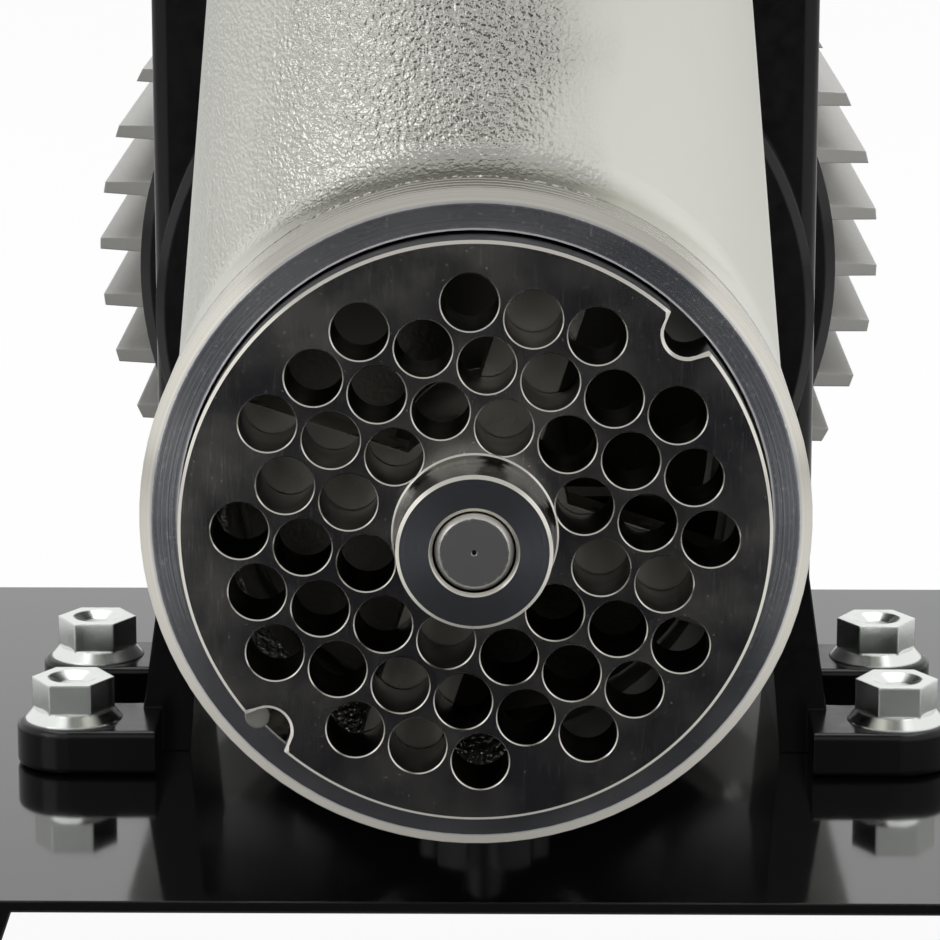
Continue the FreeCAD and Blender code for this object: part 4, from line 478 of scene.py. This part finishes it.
FINISHES = {
    # Deep black that mirrors the white studio, with the slow waves of a thick coat
    "black_enamel": partial(painted, "black stove enamel", "#0a0a0b", roughness=0.07,
                            grain=14 * MM, depth=0.006 * MM, gloss=0.8),
    # Quieter black with the soft skin of a painted casting
    "black_casting": partial(painted, "black painted casting", "#080809", roughness=0.2,
                             grain=2.5 * MM, depth=0.01 * MM, gloss=0.28),
    # Light grey, matt enough to show the fins by their shadows
    "grey_aluminium": partial(painted, "grey painted aluminium", "#bab9b5", roughness=0.42,
                              grain=1.0 * MM, depth=0.02 * MM),
    # The same grey on thin sheet, a little darker and smoother
    "grey_sheet": partial(painted, "grey painted sheet", "#b0afab", roughness=0.38,
                          grain=1.4 * MM, depth=0.015 * MM),
    "tinned_iron": tinned_casting,
    "stainless": brushed_sheet,
    "laminations": stacked_sheets,
    "copper": wound_copper,
    # Satin steel of ground faces
    "ground_steel": partial(plain_metal, "ground steel", "#a5a29c", roughness=0.28,
                            grain=0.3 * MM, depth=0.004 * MM),
    # Bright bolts with well rounded edges
    "zinc": partial(plain_metal, "zinc plate", "#e3e6e2", roughness=0.2,
                    grain=0.25 * MM, depth=0.004 * MM, edge=0.5 * MM),
    # Even grey of shafts and wheels
    "machine_steel": partial(plain_metal, "machined steel", "#a3a3a2", roughness=0.3,
                             grain=0.4 * MM, depth=0.004 * MM),
    # Yellow brown bush
    "bronze": partial(plain_metal, "sintered bronze", "#a98450", roughness=0.4,
                      grain=0.3 * MM, depth=0.01 * MM),
    # Fresh cut on a chamfer, painted pale so that it draws a thin line of light: partly the cut's own
    # brightness, partly a painted highlight
    "bright_edge": partial(plain_metal, "bright cut steel", "#dcd9d0", roughness=0.25,
                           grain=0.3 * MM, depth=0.002 * MM, edge=0.0),
    # Walls of the holes and of the plate's outer edge, which stay dark: painted shade, near black
    # steel where little light reaches
    "bore_in_painted_shade": partial(plain_metal, "bore steel in painted shade", "#1f1e1c", roughness=0.35,
                         grain=0.3 * MM, depth=0.01 * MM, edge=0.0),
    # Knife arms that glint behind the holes
    "worn_knife": partial(plain_metal, "worn knife steel", "#a3a198", roughness=0.3,
                          grain=0.3 * MM, depth=0.01 * MM),
    # Coarse casting deep behind the holes, coloured dark: painted shade, as little light reaches it
    "auger_in_painted_shade": partial(plain_metal, "cast iron in painted shade", "#65635d", roughness=0.4,
                          grain=0.8 * MM, depth=0.08 * MM),
    # Dull end of the locating pin
    "worn_pin": partial(plain_metal, "worn pin steel", "#b9b8b2", roughness=0.35,
                        grain=0.3 * MM, depth=0.01 * MM),
    "worn_stud": stud_steel,
    # Satin black terminal box, knob, gland and fan
    "black_plastic": partial(moulded, "black plastic", "#141415", roughness=0.45),
    # Glossy switch rocker
    "red_plastic": partial(moulded, "red plastic", "#c01a14", roughness=0.25),
    # Pale start capacitor and thrust washer
    "white_plastic": partial(moulded, "white plastic", "#dcdad4", roughness=0.4),
    # Dull black feet and seals
    "rubber": partial(moulded, "black rubber", "#17171a", roughness=0.7),
}


def finish_of(slot):
    """The material of a slot, made once."""
    key = "finish_" + slot
    scene = bpy.context.scene
    if key not in scene:
        scene[key] = FINISHES[slot]()
    return scene[key]


def coat(name, slot):
    """Gives a CAD node the finish of a slot."""
    for holder in frame["nodes"][name].material_slots:
        holder.material = finish_of(slot)


def paint(*names):
    """Gives CAD nodes the finish of their own slot."""
    for name in names:
        coat(name, SLOT_OF[name])


# Pieces

def new_piece(name, bm, body, slot, *materials):
    """A finished piece from a bmesh, riding on a body."""
    mesh = bpy.data.meshes.new(name)
    bmesh.ops.recalc_face_normals(bm, faces=bm.faces)
    bm.to_mesh(mesh)
    bm.free()
    for material in materials:
        mesh.materials.append(material)
    made = bpy.data.objects.new(name, mesh)
    bpy.context.scene.collection.objects.link(made)
    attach(made, body)
    return made


def wall(bm, x, z, steps, stations, indices, reach=None):
    """Wall through rings of (radius, place along Y), with a material for each step.

    Gives the edges of its first and last ring.
    """
    turn = Matrix.Translation((x, 0, z)) @ Matrix.Rotation(pi / 2, 4, "X")
    verts = bmesh.ops.create_circle(bm, segments=steps, radius=MM, matrix=turn)["verts"]
    edges = list({edge for vert in verts for edge in vert.link_edges})
    first = edges
    for number, (radius, y) in enumerate(stations):
        if number:
            made = bmesh.ops.extrude_edge_only(bm, edges=edges)["geom"]
            verts = {part for part in made if isinstance(part, bmesh.types.BMVert)}
            edges = [part for part in made
                     if isinstance(part, bmesh.types.BMEdge) and verts.issuperset(part.verts)]
            for face in (part for part in made if isinstance(part, bmesh.types.BMFace)):
                face.material_index = indices[number - 1]
                face.smooth = True
        for vert in verts:
            way = Vector((vert.co.x - x, 0, vert.co.z - z)).normalized()
            vert.co = Vector((x, y, z)) + way * (reach(way, radius) if reach else radius)
        for edge in edges:
            edge.smooth = False
    return first, edges


def notched(size):
    """Radius of the rim in a direction, drawn in at the two locating notches."""
    def reach(way, radius):
        notch = size.notch_radius + size.radius - radius
        for turn in (size.notch_turn, size.notch_turn + pi):
            across = size.notch_place * (sin(turn) * way.z - cos(turn) * way.x)
            ahead = size.notch_place * (sin(turn) * way.x + cos(turn) * way.z)
            if ahead > 0 and abs(across) < notch:
                radius = min(radius, ahead - sqrt(notch ** 2 - across ** 2))
        return radius
    return reach


def hole_places(size):
    """Centres of the holes on a lattice of triangles, clear of the hub and the edge.

    The limits are squares of the distance from the middle, in steps of the lattice.
    """
    nearest = 3
    farthest = 13
    steps = range(-4, 5)
    for up in steps:
        for across in steps:
            if nearest <= across * across + across * up + up * up <= farthest:
                x = (across + up / 2) * size.hole_pitch
                z = up * size.hole_pitch * sqrt(3) / 2
                yield x * cos(size.turn) + z * sin(size.turn), z * cos(size.turn) - x * sin(size.turn)


class GRINDER_OT_plate(Operator):
    """Builds the perforated plate with broken edges"""

    bl_idname = "grinder.plate"
    bl_label = "Perforated Plate"

    def disc(self, size):
        """The plate with its rim, bore and holes."""
        front = plate_face()
        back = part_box("grinding_plate")[1].y
        z = axis_height()
        bm = bmesh.new()
        ends = ([], [])

        def opening(x, height, radius, edge, steps, reach=None):
            """Wall of a hole or, with a negative edge, of the rim."""
            stations = ((radius + edge, front), (radius, front + abs(edge)),
                        (radius, back - abs(edge)), (radius + edge, back))
            rings = wall(bm, x, height, steps, stations, (EDGE, WALL, EDGE), reach)
            for kept, ring in zip(ends, rings):
                kept.extend(ring)

        opening(0, z, size.radius, -size.edge, size.rim_steps, notched(size))
        opening(0, z, size.bore, size.bore_edge, size.bore_steps)
        for x, up in hole_places(size):
            opening(x, z + up, size.hole_radius, size.hole_edge, size.hole_steps)
        for edges in ends:
            bmesh.ops.triangle_fill(bm, use_beauty=True, edges=edges, normal=(0, -1, 0))
        # Hole and outer walls get the near black of painted shade
        plate = new_piece("drilled_plate", bm, "plate", "ground_steel", ground_plate_steel(),
                          finish_of("bright_edge"), finish_of("bore_in_painted_shade"))
        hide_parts("grinding_plate")

    def hub(self, size):
        """The hub from its bore over its end to the small fillet at its foot."""
        front = plate_face()
        end = front - size.hub_length
        lead = size.bore_edge
        # Material, radius and place of each ring
        rows = (
            (FACE, size.bore, front + MM),
            (FACE, size.bore, end + lead),
            (EDGE, size.bore + lead, end),
            (FACE, size.hub_top - lead, end),
            (EDGE, size.hub_top, end + lead),
            (WALL, size.hub_top, front - 2.4 * MM),
            (WALL, size.hub_top + 0.25 * MM, front - 1.0 * MM),
            (WALL, size.hub_foot - 0.1 * MM, front - 0.3 * MM),
            (EDGE, size.hub_foot + 0.15 * MM, front - 0.05 * MM),
            (EDGE, size.hub_foot + 0.2 * MM, front + 0.1 * MM),
        )
        bm = bmesh.new()
        stations = [(radius, y) for _, radius, y in rows]
        indices = [index for index, _, _ in rows[1:]]
        wall(bm, 0, axis_height(), size.hub_steps, stations, indices)
        new_piece("plate_hub", bm, "plate", "ground_steel", turned_hub_steel(),
                  finish_of("bright_edge"), finish_of("ground_steel"))

    def execute(self, context):
        self.disc(context.scene.grinder_plate)
        self.hub(context.scene.grinder_plate)
        return {"FINISHED"}


class GRINDER_OT_head(Operator):
    """Finishes the head and what turns in it"""

    bl_idname = "grinder.head"
    bl_label = "Grinding Head"

    def execute(self, context):
        paint("grinder_head", "auger_bush", "thrust_washer")
        coat("plate_pin", "worn_pin")
        # Painted shade: the auger is coloured dark because it lies deep behind the plate
        coat("auger", "auger_in_painted_shade")
        coat("auger_stud", "worn_stud")
        coat("knife", "worn_knife")
        return {"FINISHED"}


class GRINDER_OT_gearbox(Operator):
    """Finishes the gearbox, its wheels and its screws"""

    bl_idname = "grinder.gearbox"
    bl_label = "Gearbox"

    def execute(self, context):
        paint("gearbox_housing", "gearbox_cover", "cover_screws", "housing_bolts", "housing_nuts",
              "output_bearing_front", "output_bearing_rear", "layshaft_bearing_front",
              "layshaft_bearing_rear", "output_seal", "motor_shaft_seal", "oil_plug",
              "layshaft_pinion", "layshaft_gear", "output_shaft", "output_gear", "output_key",
              "output_circlip", "head_clamp_knob")
        return {"FINISHED"}


class GRINDER_OT_motor(Operator):
    """Finishes the motor from the front bell to the cowl"""

    bl_idname = "grinder.motor"
    bl_label = "Motor"

    def execute(self, context):
        paint("motor_front_bell", "bell_screws", "motor_frame", "stator_core", "stator_windings",
              "motor_rear_bell", "tie_rods", "fan_cowl", "cowl_screws", "motor_bearing_front",
              "motor_bearing_rear", "rotor_shaft", "motor_pinion", "rotor_core", "cooling_fan")
        return {"FINISHED"}


class GRINDER_OT_switch_box(Operator):
    """Finishes the terminal box and the switch"""

    bl_idname = "grinder.switch_box"
    bl_label = "Terminal Box"

    def execute(self, context):
        paint("terminal_box", "terminal_box_lid", "lid_screws", "start_capacitor", "switch_frame",
              "switch_rocker", "cable_gland")
        return {"FINISHED"}


class GRINDER_OT_stand(Operator):
    """Finishes the stand and the tray"""

    bl_idname = "grinder.stand"
    bl_label = "Stand and Tray"

    def execute(self, context):
        paint("base_stand", "rubber_feet", "foot_screws", "foot_nuts", "feed_tray")
        return {"FINISHED"}


# Stage

def stage_board(name, width, height, place, turn, material):
    """A flat board of the studio."""
    bm = bmesh.new()
    bmesh.ops.create_grid(bm, x_segments=1, y_segments=1, size=0.5)
    bmesh.ops.scale(bm, vec=(width, height, 1), verts=bm.verts)
    mesh = bpy.data.meshes.new(name)
    bm.to_mesh(mesh)
    bm.free()
    mesh.materials.append(material)
    made = bpy.data.objects.new(name, mesh)
    made.location = place
    made.rotation_euler = turn
    bpy.context.scene.collection.objects.link(made)
    return made


def soft_box(name, place, target, size, watts, mirrored=True):
    """A soft square light aimed at a point, mirrored in shiny things or not."""
    data = bpy.data.lights.new(name, "AREA")
    data.shape = "SQUARE"
    data.size = size
    data.energy = watts
    made = bpy.data.objects.new(name, data)
    made.location = place
    made.rotation_euler = (Vector(target) - Vector(place)).to_track_quat("-Z", "Y").to_euler()
    made.visible_glossy = mirrored
    bpy.context.scene.collection.objects.link(made)


class GRINDER_OT_stage(Operator):
    """Sets up the floor, the light and the camera"""

    bl_idname = "grinder.stage"
    bl_label = "Studio"

    def floor(self, glow):
        """Pale floor that runs out to white and keeps the shadow."""
        made, tree, shader, _ = new_material("white studio floor")
        join(tree, shader, Base_Color=colour("#f4f4f4"), Roughness=0.9)
        seen = add(tree, "ShaderNodeLightPath").outputs["Is Camera Ray"]
        white = add(tree, "ShaderNodeEmission", {"Color": colour("#ffffff"), "Strength": 1.0})
        share = calc(tree, "MULTIPLY", seen, glow)
        blend = add(tree, "ShaderNodeMixShader",
                    {0: share, 1: shader.outputs[0], 2: white.outputs[0]})
        tree.links.new(blend.outputs[0], tree.nodes["Material Output"].inputs["Surface"])
        stage_board("floor", 12, 12, (0, 0, 0), (0, 0, 0), made)

    def flag(self, name, width, height, place, turn, level):
        """Board of an even brightness that only reflections see."""
        made, tree, shader, _ = new_material(name + " cloth")
        join(tree, shader, Base_Color=colour("#000000"), Specular_IOR_Level=0.0,
             Emission_Color=colour("#ffffff"), Emission_Strength=level)
        board = stage_board(name, width, height, place, turn, made)
        board.visible_camera = False
        board.visible_diffuse = False
        board.visible_shadow = False

    def flags(self, studio):
        """Boards in front of the plate and on the floor, and a card between neck and tray."""
        face = plate_face()
        flat = (0, 0, 0)
        upright = (pi / 2, 0, 0)
        self.flag("front flag", width=0.28, height=0.24, place=(0, face - 0.5, 0.12),
                  turn=upright, level=studio.dim)
        self.flag("floor flag", width=0.28, height=0.488, place=(0, face - 0.256, 0.002),
                  turn=flat, level=studio.dim)
        self.flag("card under the tray", width=0.24, height=0.14, place=(0, face - 0.02, 0.236),
                  turn=flat, level=studio.card)

    def world(self, level):
        """White surroundings: full to the eye and to reflections, weaker as a light."""
        made = bpy.data.worlds.new("studio")
        made.use_nodes = True
        tree = made.node_tree
        path = add(tree, "ShaderNodeLightPath").outputs
        seen = calc(tree, "MAXIMUM", path["Is Camera Ray"], path["Is Glossy Ray"])
        seen = calc(tree, "MAXIMUM", seen, path["Is Transmission Ray"])
        back = tree.nodes["Background"]
        back.inputs["Color"].default_value = colour("#ffffff")
        tree.links.new(ranged(tree, seen, 0.0, 1.0, level, 1.0), back.inputs["Strength"])
        bpy.context.scene.world = made

    def lights(self):
        """Broad light from the right, a weaker one from the left and one from above."""
        head = (0, plate_face() + 0.05, axis_height())
        soft_box("key", place=(0.95, -1.2, 0.9), target=head, size=1.8, watts=10, mirrored=False)
        soft_box("fill", place=(-1.1, -0.95, 0.7), target=head, size=0.8, watts=3)
        soft_box("top", place=(0, 0.2, 1.7), target=(0, 0.1, 0), size=1.6, watts=18)

    def camera(self, studio):
        """Camera in front, a little above and right of the axis."""
        target = Vector((0, plate_face(), axis_height()))
        level = cos(studio.pitch)
        ahead = Vector((-sin(studio.yaw) * level, cos(studio.yaw) * level, -sin(studio.pitch)))
        right = Vector((cos(studio.yaw), sin(studio.yaw), 0))
        up = right.cross(ahead)
        data = bpy.data.cameras.new("camera")
        data.sensor_width = 36
        data.lens = studio.lens
        data.clip_start = 0.05
        data.clip_end = 50
        made = bpy.data.objects.new("camera", data)
        turn = Matrix((right, up, -ahead)).transposed().to_4x4()
        place = target - ahead * studio.distance - right * studio.aside + up * studio.below
        made.matrix_world = Matrix.Translation(place) @ turn
        bpy.context.scene.collection.objects.link(made)
        bpy.context.scene.camera = made

    def execute(self, context):
        studio = context.scene.grinder_studio
        context.scene.view_settings.view_transform = "Standard"
        self.floor(studio.glow)
        self.flags(studio)
        self.world(studio.sky)
        self.lights()
        self.camera(studio)
        return {"FINISHED"}


OPERATORS = (GRINDER_OT_plate, GRINDER_OT_head, GRINDER_OT_gearbox, GRINDER_OT_motor,
             GRINDER_OT_switch_box, GRINDER_OT_stand, GRINDER_OT_stage)


class GRINDER_PT_panel(Panel):
    """Lists the grinder's operators."""

    bl_idname = "GRINDER_PT_panel"
    bl_label = "Meat Grinder"
    bl_space_type = "VIEW_3D"
    bl_region_type = "UI"
    bl_category = "Grinder"

    def draw(self, context):
        for kind in OPERATORS:
            self.layout.operator(kind.bl_idname)


CLASSES = (GrinderPlateSizes, GrinderHeadSizes, GrinderStudio, *OPERATORS, GRINDER_PT_panel)


def register():
    """Registers the classes and hangs the sizes on the scene."""
    for kind in CLASSES:
        bpy.utils.register_class(kind)
    bpy.types.Scene.grinder_plate = PointerProperty(type=GrinderPlateSizes)
    bpy.types.Scene.grinder_head = PointerProperty(type=GrinderHeadSizes)
    bpy.types.Scene.grinder_studio = PointerProperty(type=GrinderStudio)


def unregister():
    """Takes back what register did."""
    del bpy.types.Scene.grinder_studio
    del bpy.types.Scene.grinder_head
    del bpy.types.Scene.grinder_plate
    for kind in reversed(CLASSES):
        bpy.utils.unregister_class(kind)


def main():
    """Runs the operators in order."""
    register()
    bpy.ops.grinder.plate()
    bpy.ops.grinder.head()
    bpy.ops.grinder.gearbox()
    bpy.ops.grinder.motor()
    bpy.ops.grinder.switch_box()
    bpy.ops.grinder.stand()
    bpy.ops.grinder.stage()


if __name__ == "__main__":
    main()
